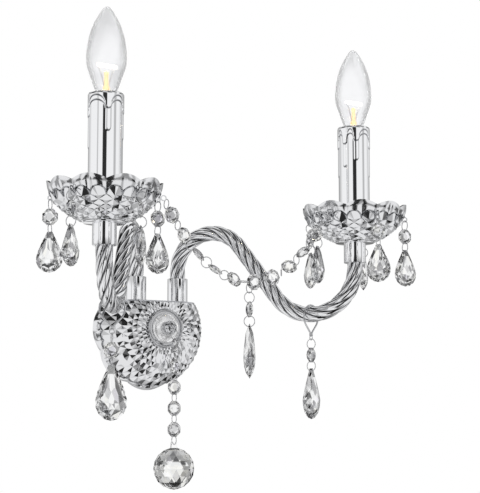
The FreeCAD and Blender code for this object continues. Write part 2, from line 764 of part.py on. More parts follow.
def hex_nut(radius, bore, low, high):
    """A nut with a round hole."""
    bored = 2 * NUT_SIDES
    rings = []
    for height in (low, high):
        rings.append([polar(radius, 360.0 * i / NUT_SIDES, height) for i in range(NUT_SIDES)])
        rings.append([polar(bore, 360.0 * i / bored, height) for i in range(bored)])
    outer_low, inner_low, outer_high, inner_high = rings
    faces = walls(outer_low, outer_high) + walls(inner_low, inner_high)
    faces += fan_walls(inner_low, outer_low) + fan_walls(inner_high, outer_high)
    return closed_solid(faces)


# ---- What stands on each cup --------------------------------------------------------------

def candle_tube(side):
    """The candle tube, with a rounded top and moulded drips down its side."""
    inner = TUBE_R - TUBE_WALL
    body = turned([
        (TUBE_R, CUP_FLOOR_Z), (TUBE_R, TUBE_TOP_Z - TUBE_SHOULDER),
        (TUBE_R - TUBE_SHOULDER * 0.3, TUBE_TOP_Z - TUBE_SHOULDER * 0.3),
        (TUBE_R - TUBE_SHOULDER * 0.9, TUBE_TOP_Z), (TUBE_LIP_R, TUBE_TOP_Z),
        (TUBE_LIP_R, TUBE_TOP_Z - 1.2), (inner, TUBE_TOP_Z - TUBE_SHOULDER - 1.0),
        (inner, CUP_FLOOR_Z),
    ], ROUND)
    drips = []
    sunk = TUBE_R - TUBE_WALL / 2
    for degrees, length in DRIPS[side]:
        top = TUBE_TOP_Z - TUBE_SHOULDER
        foot = TUBE_TOP_Z - length
        front = [(DRIP_W * 0.28, top), (DRIP_W * 0.42, foot + 2.0), (DRIP_W * 0.2, foot)]
        outline = front + [(-w, z) for w, z in reversed(front)]
        back = [FreeCAD.Vector(sunk, w, z) for w, z in outline]
        proud = [FreeCAD.Vector(TUBE_R + DRIP_OUT, w, z) for w, z in outline]
        drip = closed_solid(walls(back, proud) + [back, proud])
        drip.rotate(ORIGIN, UP, degrees - 90.0)
        drips.append(drip)
    return body.fuse(drips)


def lampholder():
    """The plastic lampholder: a disc on the nut, a stem and the socket for an E14 cap."""
    passage = NIPPLE_R + NIPPLE_CLEAR
    stem_z = HOLDER_Z + HOLDER_BASE_H
    pocket = CUP_FLOOR_Z + NIPPLE_END + NIPPLE_CLEAR
    cavity = BULB_CAP_R + BULB_CAP_CLEAR
    foot = SOCKET_FLOOR_Z - SOCKET_FLOOR
    return turned([
        (HOLDER_R, HOLDER_Z), (HOLDER_R, stem_z), (HOLDER_STEM_R, stem_z), (HOLDER_STEM_R, foot),
        (SOCKET_R, foot), (SOCKET_R, SOCKET_TOP_Z), (cavity, SOCKET_TOP_Z),
        (cavity, SOCKET_FLOOR_Z), (NIPPLE_BORE_R, SOCKET_FLOOR_Z), (NIPPLE_BORE_R, pocket),
        (passage, pocket), (passage, HOLDER_Z),
    ], SMALL_ROUND)


def bulb_glass():
    """The clear candle-shaped skin, open where it is sealed to its cap."""
    outer = [(r, TUBE_TOP_Z + h) for r, h in BULB_PROFILE]
    inner = [(r - BULB_GLASS, z) for r, z in reversed(outer)]
    foot_r = BULB_PROFILE[0][0]
    tip = TUBE_TOP_Z + BULB_TIP
    profile = [(foot_r, GLASS_FOOT_Z)] + outer + [(0.0, tip), (0.0, tip - BULB_GLASS)]
    return turned(profile + inner + [(foot_r - BULB_GLASS, GLASS_FOOT_Z)], SMALL_ROUND)


def bulb_cap():
    """The screw cap with its centre contact."""
    top = GLASS_FOOT_Z
    return turned([
        (BULB_CAP_R, BULB_FOOT_Z + 3.0), (BULB_CAP_R, top), (0.0, top), (0.0, BULB_FOOT_Z),
        (2.4, BULB_FOOT_Z), (2.4, BULB_FOOT_Z + 1.2),
    ], TINY_ROUND)


def filament():
    """The glass stem, its two splayed wires and the coil between them."""
    foot = GLASS_FOOT_Z
    top = TUBE_TOP_Z + FILAMENT_Z
    stem = turned([
        (STEM_R, foot), (STEM_R * 0.6, foot + STEM_H), (0.0, foot + STEM_H), (0.0, foot),
    ], NUT_SIDES)
    pieces = [stem]
    start = foot + STEM_H - 3.0
    half = FILAMENT_WIRE / 2
    for way in (-1.0, 1.0):
        low = [FreeCAD.Vector(way * 0.6 + x, y, start) for x, y in square(half)]
        high = [FreeCAD.Vector(way * FILAMENT_W / 2 + x, y, top) for x, y in square(half)]
        pieces.append(closed_solid(walls(low, high) + [low, high]))
    coil = box_round(FreeCAD.Vector(0, 0, top), FILAMENT_W + 2.0, 1.6, 1.6)
    return pieces[0].fuse(pieces[1:] + [coil])


def square(half):
    return [(-half, -half), (half, -half), (half, half), (-half, half)]


# ---- Crystals and links -------------------------------------------------------------------

def wire_loop(corners, wire):
    """A closed loop of square wire. Its middle line's corners are (across, up)."""
    count = len(corners)
    outer = []
    inner = []
    for i in range(count):
        before, here, after = corners[i - 1], corners[i], corners[(i + 1) % count]
        first = math.atan2(here[1] - before[1], here[0] - before[0])
        second = math.atan2(after[1] - here[1], after[0] - here[0])
        half_turn = math.atan2(math.sin(second - first), math.cos(second - first)) / 2
        way = first + half_turn - math.pi / 2
        reach = wire / 2 / math.cos(half_turn)
        outer.append((here[0] + reach * math.cos(way), here[1] + reach * math.sin(way)))
        inner.append((here[0] - reach * math.cos(way), here[1] - reach * math.sin(way)))
    rings = []
    for line in (outer, inner):
        for depth in (-wire / 2, wire / 2):
            rings.append([FreeCAD.Vector(x, depth, z) for x, z in line])
    outer_back, outer_front, inner_back, inner_front = rings
    return closed_solid(
        walls(outer_back, outer_front) + walls(inner_back, inner_front)
        + walls(outer_back, inner_back) + walls(outer_front, inner_front)
    )


def ring(radius):
    """A link or an eyelet, with a flat at its top and its foot."""
    corner_r = radius / math.cos(math.pi / LINK_SIDES)
    corners = []
    for i in range(LINK_SIDES):
        spot = polar(corner_r, (i + 0.5) * 360.0 / LINK_SIDES, 0)
        corners.append((spot.x, spot.y))
    return wire_loop(corners, WIRE)


def bead():
    """A cut octagon bead with its two holes."""
    corner_r = BEAD_W / 2 / math.cos(math.pi / BEAD_SIDES)
    table_r = BEAD_TABLE / 2 / math.cos(math.pi / BEAD_SIDES)
    rings = []
    for radius, depth in ((corner_r, 0.0), (table_r, BEAD_T / 2), (table_r, -BEAD_T / 2)):
        spots = [polar(radius, (i + 0.5) * 360.0 / BEAD_SIDES, 0) for i in range(BEAD_SIDES)]
        rings.append([FreeCAD.Vector(s.x, depth, s.y) for s in spots])
    girdle, front, back = rings
    body = closed_solid(walls(girdle, front) + walls(girdle, back) + [front, back])
    for height in (-HOLE_IN, HOLE_IN):
        body = body.cut(box_round(UP * height, HOLE, 2 * BEAD_T, HOLE))
    return body


def pendant(width, height, thickness):
    """A cut drop, with its hole near the top. Its own origin is at its top."""
    half = [(share * width / 2, -down * height) for share, down in DROP_OUTLINE]
    outline = half + [(0.0, -height)] + [(-x, z) for x, z in reversed(half)]
    middle = -DROP_TABLE_MIDDLE * height
    shrunk = [(x * DROP_TABLE, middle + (z - middle) * DROP_TABLE) for x, z in outline]
    girdle = [FreeCAD.Vector(x, 0, z) for x, z in outline]
    front = [FreeCAD.Vector(x, thickness / 2, z) for x, z in shrunk]
    back = [FreeCAD.Vector(x, -thickness / 2, z) for x, z in shrunk]
    body = closed_solid(walls(girdle, front) + walls(girdle, back) + [front, back])
    return body.cut(box_round(UP * -DROP_HOLE_IN, HOLE, 2 * thickness, HOLE))


def chain_ball():
    """The cut ball under the centre chain. Its own origin is at its top."""
    rows = []
    for number, (radius, down) in enumerate(BALL_PROFILE):
        shift = number % 2 / 2.0
        rows.append([polar(radius, (i + shift) * 360.0 / BALL_SIDES, -down) for i in range(BALL_SIDES)])
    faces = [rows[0]]
    for number, (row, following) in enumerate(zip(rows, rows[1:])):
        back = number % 2
        for i in range(BALL_SIDES):
            ahead = (i + 1) % BALL_SIDES
            below = following[(i + back) % BALL_SIDES]
            faces.append([row[i], row[ahead], below])
            faces.append([following[(i + back - 1) % BALL_SIDES], below, row[i]])
    foot = UP * -BALL_H
    last = rows[-1]
    faces.extend([last[i - 1], last[i], foot] for i in range(BALL_SIDES))
    body = closed_solid(faces)
    width = 2 * BALL_PROFILE[1][0]
    for way in (-1, 1):
        middle = FreeCAD.Vector(0, way * (BALL_NECK_T + width) / 2, 0)
        body = body.cut(box_round(middle, width, width, 2 * BALL_NECK))
    return body.cut(box_round(UP * -DROP_HOLE_IN, HOLE, 2 * BALL_NECK_T, HOLE))


def hang(pin, face, pieces, turns, link_r=LINK_R):
    """Hangs pieces one under another from the middle of the first link's top wire.

    Each piece is "link", "bead" or a shape whose own origin is at its top. Beads face along face and
    links square to it, a link that hangs from a link turns what follows by a quarter, and each
    piece is turned by its share of turns. Returns (crystals, links).
    """
    crystals = []
    links = []
    level = 0.0
    previous = None
    for piece, turn in zip(pieces, turns):
        if piece == "link" and previous == "link":
            level += WIRE + WIRE_CLEAR
            face = about(face, UP, 90)
        way = about(face, UP, turn)
        if piece == "link":
            links.append(placed(ring(link_r), pin + UP * (level - link_r), UP, about(way, UP, 90)))
            level -= 2 * link_r
        elif piece == "bead":
            crystals.append(placed(bead(), pin + UP * (level - BEAD_GRIP), UP, way))
            level -= 2 * BEAD_GRIP
        else:
            crystals.append(placed(piece, pin + UP * (level + DROP_GRIP), UP, way))
        previous = piece
    return crystals, links


# ---- The strings --------------------------------------------------------------------------

def eyelets(side):
    """(direction, distance out from the cup's axis, whether crosswise) of each eyelet in a cup.

    The garland's last link hangs square to its others, so its eyelet stands across its pin.
    """
    mirror = -SIDES[side]
    spots = [(outward(mirror * angle), EYELET_OUT, False) for angle in STRING_ANGLES]
    spots.append((outward(mirror * GARLAND_ANGLE), GARLAND_EYELET_OUT, side == "right"))
    return spots


def pin_height(crosswise):
    """A crosswise eye hangs from its pin by its top, the others by their side."""
    return EYELET_Z + (EYE_R if crosswise else 0.0)


def eyelet(side, direction, out, crosswise):
    """A wire eye whose pin runs through the cup's wall."""
    axis = lamp_axis(side)
    face = direction if crosswise else direction.cross(UP)
    eye = placed(ring(EYE_R), axis + direction * out + UP * EYELET_Z, UP, face)
    length = out - PIN_IN - (0.0 if crosswise else EYE_R)
    middle = axis + direction * (PIN_IN + length / 2) + UP * pin_height(crosswise)
    return eye.fuse(placed(box_round(ORIGIN, WIRE, length, WIRE), middle, UP, direction))


def string_pin(side, number):
    """Middle of the wire that hangs a string from its eyelet."""
    direction, out, _ = eyelets(side)[number]
    return lamp_axis(side) + direction * out + UP * (EYELET_Z - EYE_DROP)


def cup_string(side, number):
    """Crystals and links of one string under a cup's rim."""
    direction = eyelets(side)[number][0]
    face = direction.cross(UP)
    turn = STRING_TURNS[side][number]
    pieces = ["link", "bead", "link", pendant(DROP_W, DROP_H, DROP_T)]
    return hang(string_pin(side, number), face, pieces, [turn] * len(pieces))


def loop_middle(side):
    """Centre of the arm where its wire loop hangs."""
    return arm_root(side) + arm_heading(side) * LOOP_RUN + UP * (LOW_BEND_Z - LOW_BEND)


def arm_drop(side):
    """The wire loop over an arm and the crystals it carries."""
    facing = outward(SIDES[side] * LOOP_FACING)
    top = ARM_R + LOOP_CLEAR + LOOP_WIRE / 2
    lean = math.degrees(math.asin(LOOP_R / (LOOP_H - LOOP_R)))
    corners = [(0.0, top - LOOP_H)]
    for i in range(LOOP_CORNERS):
        angle = -lean + (180.0 + 2 * lean) * i / (LOOP_CORNERS - 1)
        spot = polar(LOOP_R, angle, 0)
        corners.append((spot.x, top - LOOP_R + spot.y))
    middle = loop_middle(side)
    loop = placed(wire_loop(corners, LOOP_WIRE), middle, UP, facing)
    wide, deep, high = CRIMP
    foot = middle + UP * (top - LOOP_H)
    crimp = placed(box_round(ORIGIN, wide, deep, high), foot, UP, facing)
    eye_middle = foot - UP * (high / 2 + EYE_R)
    eye = placed(ring(EYE_R), eye_middle, UP, facing)
    pieces = ["link", "bead", "link", pendant(BIG_DROP_W, BIG_DROP_H, BIG_DROP_T)]
    pin = eye_middle - UP * EYE_DROP
    crystals, links = hang(pin, facing, pieces, [0.0] * len(pieces))
    return crystals, [loop.fuse([crimp, eye])] + links


def chain():
    """The centre chain and its ball."""
    pieces = ["link", "bead"] * CHAIN_BEADS + ["link", chain_ball()]
    return hang(chain_pin(), Y_AXIS, pieces, CHAIN_TURNS, CHAIN_LINK_R)


def garland_pins():
    """Points where the garland's pieces meet, from the left eyelet to the right one."""
    direction, out, _ = eyelets("left")[-1]
    eye = lamp_axis("left") + direction * out
    half = abs(eye.x) - GARLAND_REST / 2
    low, high = half / 10, half * 10
    while high - low > 1e-6:
        spread = (low + high) / 2
        if 2 * spread * math.sinh(half / spread) > GARLAND_LENGTH:
            low = spread
        else:
            high = spread
    steps = []
    for _ in GARLAND_TURNS:
        steps.extend([2 * LINK_R, 2 * BEAD_GRIP])
    steps.extend([2 * LINK_R, -WIRE - WIRE_CLEAR, 2 * LINK_R])
    end_z = EYELET_Z - GARLAND_REST
    along = -GARLAND_LENGTH / 2
    pins = []
    for step in [0.0] + steps:
        along += step
        x = spread * math.asinh(along / spread)
        sag = spread * (math.cosh(half / spread) - math.cosh(x / spread))
        pins.append(FreeCAD.Vector(x, eye.y, end_z - sag))
    return pins


def garland():
    """(beads, links) of the garland, strung along a hanging curve."""
    pins = garland_pins()
    beads = []
    links = []
    turns = [0.0] + list(GARLAND_TURNS) + [GARLAND_TURNS[-1]]
    for number, turn in enumerate(GARLAND_TURNS):
        first, second = pins[2 * number + 1], pins[2 * number + 2]
        along = first - second
        beads.append(placed(bead(), (first + second) * 0.5, along, about(Y_AXIS, along, turn)))
    for number in range(len(GARLAND_TURNS) + 2):
        first, second = pins[2 * number], pins[2 * number + 1]
        along = first - second
        turn = sum(turns[number:number + 2]) / len(turns[number:number + 2])
        square = about(Y_AXIS, along, turn).cross(along)
        if number > len(GARLAND_TURNS):
            square = Y_AXIS
        links.append(placed(ring(LINK_R), (first + second) * 0.5, along, square))
    return beads, links


def garland_drop_pin():
    """Middle of the wire that hangs the middle drop, in its bead's left hole."""
    pins = garland_pins()
    first, second = pins[2 * DROP_BEAD - 1], pins[2 * DROP_BEAD]
    return first + (second - first).normalize() * (WIRE + 2 * WIRE_CLEAR)


def garland_drop():
    """The drop in the middle of the garland."""
    pieces = ["link", "link", "bead", "link", pendant(BIG_DROP_W, BIG_DROP_H, BIG_DROP_T)]
    return hang(garland_drop_pin(), Y_AXIS, pieces, DROP_TURNS)


# ---- The whole light ----------------------------------------------------------------------

def main():
    os.makedirs("parts", exist_ok=True)
    write("wall_dish", [wall_dish()])
    write("chassis_bracket", [bracket()])
    write("mounting_strap", [strap()])
    write("terminal_block", [terminal_block()])
    write("rosette_ring", [rosette()])
    write("rosette_dome", [dome()])
    write("ball_nut", [ball_nut()])
    write("centre_stud", [facing_out(rod(STUD_R, 0.2, DOME_FRONT + STUD_GRIP - 0.5, TINY_ROUND))])
    stud_nut = hex_nut(NUT_R, STUD_R + STUD_CLEAR, FLANGE_FACE, FLANGE_FACE + NUT_H)
    write("stud_nut", [facing_out(stud_nut)])
    tubes, nuts = nipples_and_nuts()
    write("threaded_nipples", tubes)
    write("nipple_nuts", nuts)

    sleeve_bore = ARM_R + SLEEVE_CLEAR
    root_sleeve = tube(ROOT_SLEEVE_R, sleeve_bore, PLATE_Z, PLATE_Z + ROOT_SLEEVE_H)
    cup_sleeve = turned([
        (CUP_SLEEVE_R, CUP_SLEEVE_Z), (CUP_SLEEVE_R, SEAT_Z), (NIPPLE_R + NIPPLE_CLEAR, SEAT_Z),
        (NIPPLE_R + NIPPLE_CLEAR, ARM_TOP_Z), (sleeve_bore, ARM_TOP_Z), (sleeve_bore, CUP_SLEEVE_Z),
    ], ROUND)
    seat = tube(SEAT_R, NIPPLE_R + NIPPLE_CLEAR, SEAT_Z, CUP_FOOT_Z)
    write("root_sleeves", [moved(root_sleeve, arm_root(side)) for side in SIDES])
    write("cup_sleeves", [moved(cup_sleeve, lamp_axis(side)) for side in SIDES])
    write("seat_plates", [moved(seat, lamp_axis(side)) for side in SIDES])
    write("lampholders", [moved(lampholder(), lamp_axis(side)) for side in SIDES])
    write("arm_leads", [lead(side) for side in SIDES])
    write("cup_eyelets", [eyelet(side, *spot) for side in SIDES for spot in eyelets(side)])

    for side in SIDES:
        write(side + "_arm", [arm(side)])
        write(side + "_drip_cup", [drip_cup(side)])
        write(side + "_candle_tube", [moved(candle_tube(side), lamp_axis(side))])
        write(side + "_bulb_glass", [moved(bulb_glass(), lamp_axis(side))])
        write(side + "_bulb_cap", [moved(bulb_cap(), lamp_axis(side))])
        write(side + "_bulb_filament", [moved(filament(), lamp_axis(side))])
        for number, name in enumerate(STRING_NAMES):
            crystals, links = cup_string(side, number)
            write(side + "_" + name + "_crystals", crystals)
            write(side + "_" + name + "_rings", links)
        crystals, wires = arm_drop(side)
        write(side + "_arm_drop_crystals", crystals)
        write(side + "_arm_drop_wires", wires)

    for name, (crystals, links) in (
        ("garland", garland()), ("garland_drop", garland_drop()), ("centre_chain", chain()),
    ):
        write(name + "_crystals", crystals)
        write(name + "_rings", links)


main()
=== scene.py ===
# %% [markdown]
# # A crystal wall light with two candle lamps
# The light is chromed plastic and steel with clear cut crystals. It was already modelled as solids,
# so the frame gives every piece its place. Here the plain solids are replaced by finely shaped
# pieces, and each surface gets its finish.

# %% Load the frame
import math
import random
from types import SimpleNamespace

import bmesh
import bpy
import numpy as np
from mathutils import Matrix, Vector
from mathutils.kdtree import KDTree


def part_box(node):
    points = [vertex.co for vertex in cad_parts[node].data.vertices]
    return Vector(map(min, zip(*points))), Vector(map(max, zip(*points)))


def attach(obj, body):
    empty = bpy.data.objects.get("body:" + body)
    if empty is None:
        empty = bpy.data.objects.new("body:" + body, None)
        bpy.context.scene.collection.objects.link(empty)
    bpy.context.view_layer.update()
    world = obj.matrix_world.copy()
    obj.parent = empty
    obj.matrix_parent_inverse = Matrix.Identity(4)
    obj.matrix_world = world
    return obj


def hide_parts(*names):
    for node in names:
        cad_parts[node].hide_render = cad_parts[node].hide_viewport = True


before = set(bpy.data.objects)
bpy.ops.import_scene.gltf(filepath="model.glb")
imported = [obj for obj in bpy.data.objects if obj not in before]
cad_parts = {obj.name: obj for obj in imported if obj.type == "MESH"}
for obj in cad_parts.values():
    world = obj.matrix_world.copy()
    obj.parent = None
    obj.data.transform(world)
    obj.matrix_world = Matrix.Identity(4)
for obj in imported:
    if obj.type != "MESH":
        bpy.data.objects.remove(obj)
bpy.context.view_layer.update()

# %% [markdown]
# ## Sizes
# The frame is in metres. A few driving sizes of the light are repeated here in millimetres, because
# they shape the new pieces, and `MM` turns them into metres.

# %% Driving sizes
MM = 0.001
UP = Vector((0, 0, 1))
SIDES = {"left": -1.0, "right": 1.0}
STRINGS = ["back_string", "side_string", "front_string", "near_string", "inner_string"]

lamp_axis = {}
for side in SIDES:
    low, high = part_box(side + "_bulb_cap")
    lamp_axis[side] = Vector(((low[0] + high[0]) / 2, (low[1] + high[1]) / 2, 0))
    print(side, "lamp axis", [round(c * 1000, 1) for c in lamp_axis[side]])

# %% [markdown]
# ## Finishes
# Polished chrome is a metal with hardly any roughness, so it lives from what it reflects. A real
# coat has faint smears, so one shared node group makes a soft smear mask, which each chrome finish
# turns into a little roughness. The group hands out plain values, and each material keeps its own
# shader.

# %% A shared mask for smears and dust
def new_group(name, outputs):
    """An empty node group with a Scale input and the named outputs."""
    group = bpy.data.node_groups.new(name, "ShaderNodeTree")
    group.interface.new_socket("Scale", in_out="INPUT", socket_type="NodeSocketFloat")
    for title, kind in outputs:
        group.interface.new_socket(title, in_out="OUTPUT", socket_type=kind)
    start = group.nodes.new("NodeGroupInput")
    end = group.nodes.new("NodeGroupOutput")
    return group, start, end


def ramp(nodes, stops):
    """A colour ramp from (place, grey or colour) stops."""
    node = nodes.new("ShaderNodeValToRGB")
    elements = node.color_ramp.elements
    while len(elements) < len(stops):
        elements.new(0.5)
    for element, (place, value) in zip(elements, stops):
        element.position = place
        shade = (value, value, value) if isinstance(value, float) else value
        element.color = (*shade, 1.0)
    return node


smears, start, end = new_group("smears", [("Mask", "NodeSocketFloat"), ("Waviness", "NodeSocketFloat")])
coords = smears.nodes.new("ShaderNodeTexCoord")
cloud = smears.nodes.new("ShaderNodeTexNoise")
cloud.inputs["Detail"].default_value = 4.0
cloud.inputs["Roughness"].default_value = 0.6
soft = ramp(smears.nodes, [(0.35, 0.0), (0.7, 1.0)])
wave = smears.nodes.new("ShaderNodeTexNoise")
wave.inputs["Scale"].default_value = 60.0
wave.inputs["Detail"].default_value = 1.0
smears.links.new(start.outputs["Scale"], cloud.inputs["Scale"])
smears.links.new(coords.outputs["Object"], cloud.inputs["Vector"])
smears.links.new(coords.outputs["Object"], wave.inputs["Vector"])
smears.links.new(cloud.outputs["Fac"], soft.inputs["Fac"])
smears.links.new(soft.outputs["Color"], end.inputs["Mask"])
smears.links.new(wave.outputs["Fac"], end.inputs["Waviness"])
print("group:", smears.name)


# %% Chrome, steel and plastic
def new_material(name, looks):
    """A material, its tree and its shader, with the shader's inputs set from looks."""
    material = bpy.data.materials.new(name)
    material.use_nodes = True
    shader = material.node_tree.nodes["Principled BSDF"]
    for title, value in looks.items():
        shader.inputs[title].default_value = value
    return material, material.node_tree, shader


def smear_mask(tree, scale):
    """The shared smear mask, placed in a material's tree."""
    mask = tree.nodes.new("ShaderNodeGroup")
    mask.node_tree = smears
    mask.inputs["Scale"].default_value = scale
    return mask


def smear(tree, shader, scale, smooth_at, smeared):
    """Lets the roughness go from smooth_at to smeared with the mask, and gives the mask."""
    mask = smear_mask(tree, scale)
    spread = tree.nodes.new("ShaderNodeMapRange")
    spread.inputs["To Min"].default_value = smooth_at
    spread.inputs["To Max"].default_value = smeared
    tree.links.new(mask.outputs["Mask"], spread.inputs["Value"])
    tree.links.new(spread.outputs["Result"], shader.inputs["Roughness"])
    return mask


def metal(name, colour, smooth_at, smeared, scale, bump=0.0):
    """A metal whose roughness goes from smooth_at to smeared with the smear mask."""
    material, tree, shader = new_material(name, {"Base Color": (*colour, 1.0), "Metallic": 1.0})
    mask = smear(tree, shader, scale, smooth_at, smeared)
    if bump:
        dents = tree.nodes.new("ShaderNodeBump")
        dents.inputs["Strength"].default_value = bump
        dents.inputs["Distance"].default_value = 0.0004
        tree.links.new(mask.outputs["Waviness"], dents.inputs["Height"])
        tree.links.new(dents.outputs["Normal"], shader.inputs["Normal"])
    return material


chrome = metal("chrome", (0.86, 0.865, 0.88), 0.03, 0.07, 90.0)
wire_chrome = metal("wire_chrome", (0.60, 0.605, 0.62), 0.08, 0.16, 200.0)
zinc = metal("zinc_steel", (0.66, 0.67, 0.7), 0.28, 0.42, 120.0, bump=0.15)
nickel = metal("nickel_cap", (0.75, 0.74, 0.7), 0.18, 0.3, 150.0)


# Grooves, the edges of the wax coats and the borders of the cuts are steep and thin, and a mirror
# shows them dark. An attribute marks them, and these finishes paint them darker there: painted shade.
def metal_with_painted_shade(name, colour, dark, start_at, dark_at):
    """A chrome with painted shade: it goes from colour to dark as its marking attribute rises."""
    material = metal(name, colour, 0.03, 0.07, 90.0)
    nodes = material.node_tree.nodes
    mark = nodes.new("ShaderNodeAttribute")
    mark.attribute_name = "painted_shade_line"
    shade = ramp(nodes, [(start_at, colour), (dark_at, dark)])
    material.node_tree.links.new(mark.outputs["Fac"], shade.inputs["Fac"])
    material.node_tree.links.new(shade.outputs["Color"], nodes["Principled BSDF"].inputs["Base Color"])
    return material


# Painted shadow: the tube's chrome turns dark at the edges of the wax coats.
wax_chrome = metal_with_painted_shade("wax_chrome", (0.86, 0.865, 0.88), (0.16, 0.165, 0.18), 0.0, 0.85)
# Painted shade: the arm's chrome turns dark in the grooves between its strands.
rope_chrome = metal_with_painted_shade("rope_chrome", (0.82, 0.825, 0.84), (0.10, 0.10, 0.11), 0.30, 0.85)

# Painted reflection: the bowls' chrome turns dark on the raised borders of the cuts.
moulded_chrome = metal_with_painted_shade("moulded_chrome", (0.76, 0.765, 0.78), (0.36, 0.365, 0.38), 0.0, 1.0)

# The petalled bands of the bowls are plainer than their cuts, which the attribute `satin` marks.
tree = moulded_chrome.node_tree
satin = tree.nodes.new("ShaderNodeAttribute")
satin.attribute_name = "satin"
rougher = tree.nodes.new("ShaderNodeMath")
rougher.operation = "MULTIPLY_ADD"
rougher.inputs[1].default_value = 0.08
tree.links.new(satin.outputs["Fac"], rougher.inputs[0])
tree.links.new(tree.nodes["Map Range"].outputs["Result"], rougher.inputs[2])
tree.links.new(rougher.outputs[0], tree.nodes["Principled BSDF"].inputs["Roughness"])

boss_chrome = metal("boss_chrome", (0.94, 0.942, 0.95), 0.22, 0.28, 90.0)
boss_chrome.node_tree.nodes["Principled BSDF"].inputs["Metallic"].default_value = 0.65


def plastic(name, light, dark, roughness):
    """A moulded plastic whose colour drifts a little between two close shades."""
    material, tree, shader = new_material(name, {"Roughness": roughness})
    shades = ramp(tree.nodes, [(0.0, light), (1.0, dark)])
    tree.links.new(smear_mask(tree, 140.0).outputs["Mask"], shades.inputs["Fac"])
    tree.links.new(shades.outputs["Color"], shader.inputs["Base Color"])
    return material


holder_plastic = plastic("white_plastic", (0.86, 0.86, 0.83), (0.8, 0.8, 0.77), 0.45)
cable_plastic = plastic("cable_plastic", (0.05, 0.05, 0.055), (0.03, 0.03, 0.034), 0.35)
print("metals and plastics made")

# %% [markdown]
# Cut crystal is clear, but each facet bends a different part of the room towards the eye, so beside
# a bright facet there is often a grey or a nearly black one, and a few show a little colour. These are
# painted reflections: each facet carries a number in the face attribute `facet`, and the finish paints its
# reflection from there.

# %% Crystal and bulb glass
painted_reflections, start, end = new_group("facet_painted_reflections", [("Colour", "NodeSocketColor")])
number = painted_reflections.nodes.new("ShaderNodeAttribute")
number.attribute_name = "facet"
shades = ramp(painted_reflections.nodes, [
    (0.0, (0.16, 0.16, 0.17)), (0.10, (0.50, 0.50, 0.51)), (0.22, (0.84, 0.85, 0.85)),
    (0.50, (0.985, 0.985, 0.985)), (0.90, (0.97, 0.96, 0.90)), (0.96, (0.88, 0.86, 0.94)),
])
shades.color_ramp.interpolation = "CONSTANT"
painted_reflections.links.new(number.outputs["Fac"], shades.inputs["Fac"])
painted_reflections.links.new(shades.outputs["Color"], end.inputs["Colour"])

# The crystal's base colour is each facet's painted reflection.
crystal, tree, shader = new_material("cut_crystal", {
    "Transmission Weight": 1.0, "Roughness": 0.0, "IOR": 1.55,
})
facets = tree.nodes.new("ShaderNodeGroup")
facets.node_tree = painted_reflections
tree.links.new(facets.outputs["Colour"], shader.inputs["Base Color"])

bulb_glass, tree, shader = new_material("bulb_glass", {
    "Base Color": (0.93, 0.935, 0.95, 1.0), "Transmission Weight": 1.0, "IOR": 1.18, "Alpha": 0.45,
})
smear(tree, shader, 50.0, 0.0, 0.03)

glow = new_material("lit_coil", {
    "Base Color": (1.0, 0.93, 0.8, 1.0), "Emission Color": (1.0, 0.86, 0.62, 1.0),
    "Emission Strength": 9.0,
})[0]
# The bulb's glass stem gets a warm painted glow, standing for the lit coil's light on it.
halo = new_material("stem_painted_glow", {
    "Base Color": (1.0, 0.78, 0.52, 1.0), "Transmission Weight": 0.6, "Roughness": 0.12,
    "Emission Color": (1.0, 0.72, 0.42, 1.0), "Emission Strength": 0.42,
})[0]
print("glass made")


# %% [markdown]
# ## Helpers for every piece
# A finished piece is a mesh in its place, riding on the body that carries it. `dress` keeps the
# solid from the frame and only gives it a finish and a fine rounded edge.

# %% Piece helpers
def new_object(name, bm, material):
    """An object in the scene with bm as its mesh."""
    mesh = bpy.data.meshes.new(name)
    bm.to_mesh(mesh)
    bm.free()
    mesh.materials.append(material)
    made = bpy.data.objects.new(name, mesh)
    bpy.context.scene.collection.objects.link(made)
    return made


def add_piece(name, bm, material, body, nodes, smooth_angle=None):
    """Makes a mesh object from bm that rides on body and stands for those nodes."""
    piece = new_object(name, bm, material)
    mesh = piece.data
    if smooth_angle is not None:
        mesh.polygons.foreach_set("use_smooth", [True] * len(mesh.polygons))
        mesh.set_sharp_from_angle(angle=math.radians(smooth_angle))
    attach(piece, body)
    if nodes:
        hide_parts(*nodes)
    print(name, len(mesh.polygons), "faces")
    return piece


def dress(node, material, edge=0.0):
    """Gives a node from the frame its finish, and a bevel of edge millimetres."""
    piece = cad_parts[node]
    piece.data.materials.clear()
    piece.data.materials.append(material)
    if edge:
        bevel = piece.modifiers.new("rounded edge", "BEVEL")
        bevel.width = edge * MM
        bevel.segments = 2
        bevel.limit_method = "ANGLE"
        bevel.angle_limit = math.radians(40)


def join(bm, other):
    """Adds another bmesh to bm and frees it."""
    mesh = bpy.data.meshes.new("part")
    other.to_mesh(mesh)
    other.free()
    bm.from_mesh(mesh)
    bpy.data.meshes.remove(mesh)


def spun(points, steps):
    """A bmesh made by spinning a line of points, in metres, about the upright axis."""
    bm = bmesh.new()
    verts = [bm.verts.new(point) for point in points]
    edges = [bm.edges.new(pair) for pair in zip(verts, verts[1:])]
    bmesh.ops.spin(bm, geom=verts + edges, cent=(0, 0, 0), axis=(0, 0, 1), angle=2 * math.pi,
                   steps=steps, use_merge=True)
    return bm


def turned(profile, steps=48):
    """A closed turned piece from (radius, height) points in millimetres."""
    bm = spun([(r * MM, 0, z * MM) for r, z in profile], steps)
    bmesh.ops.remove_doubles(bm, verts=bm.verts, dist=1e-6)
    bmesh.ops.recalc_face_normals(bm, faces=bm.faces)
    return bm


def everything(bm):
    return bm.verts[:] + bm.edges[:] + bm.faces[:]


def facing_out(bm):
    """Turns a bmesh drawn upright so that its top points out from the wall."""
    bmesh.ops.rotate(bm, verts=bm.verts, matrix=Matrix.Rotation(math.radians(90), 3, "X"))
    return bm


def axes(up, face):
    """A matrix whose Z is along up and whose Y is along face."""
    z = Vector(up).normalized()
    x = Vector(face).cross(z).normalized()
    y = z.cross(x)
    return Matrix((x, y, z)).transposed().to_4x4()


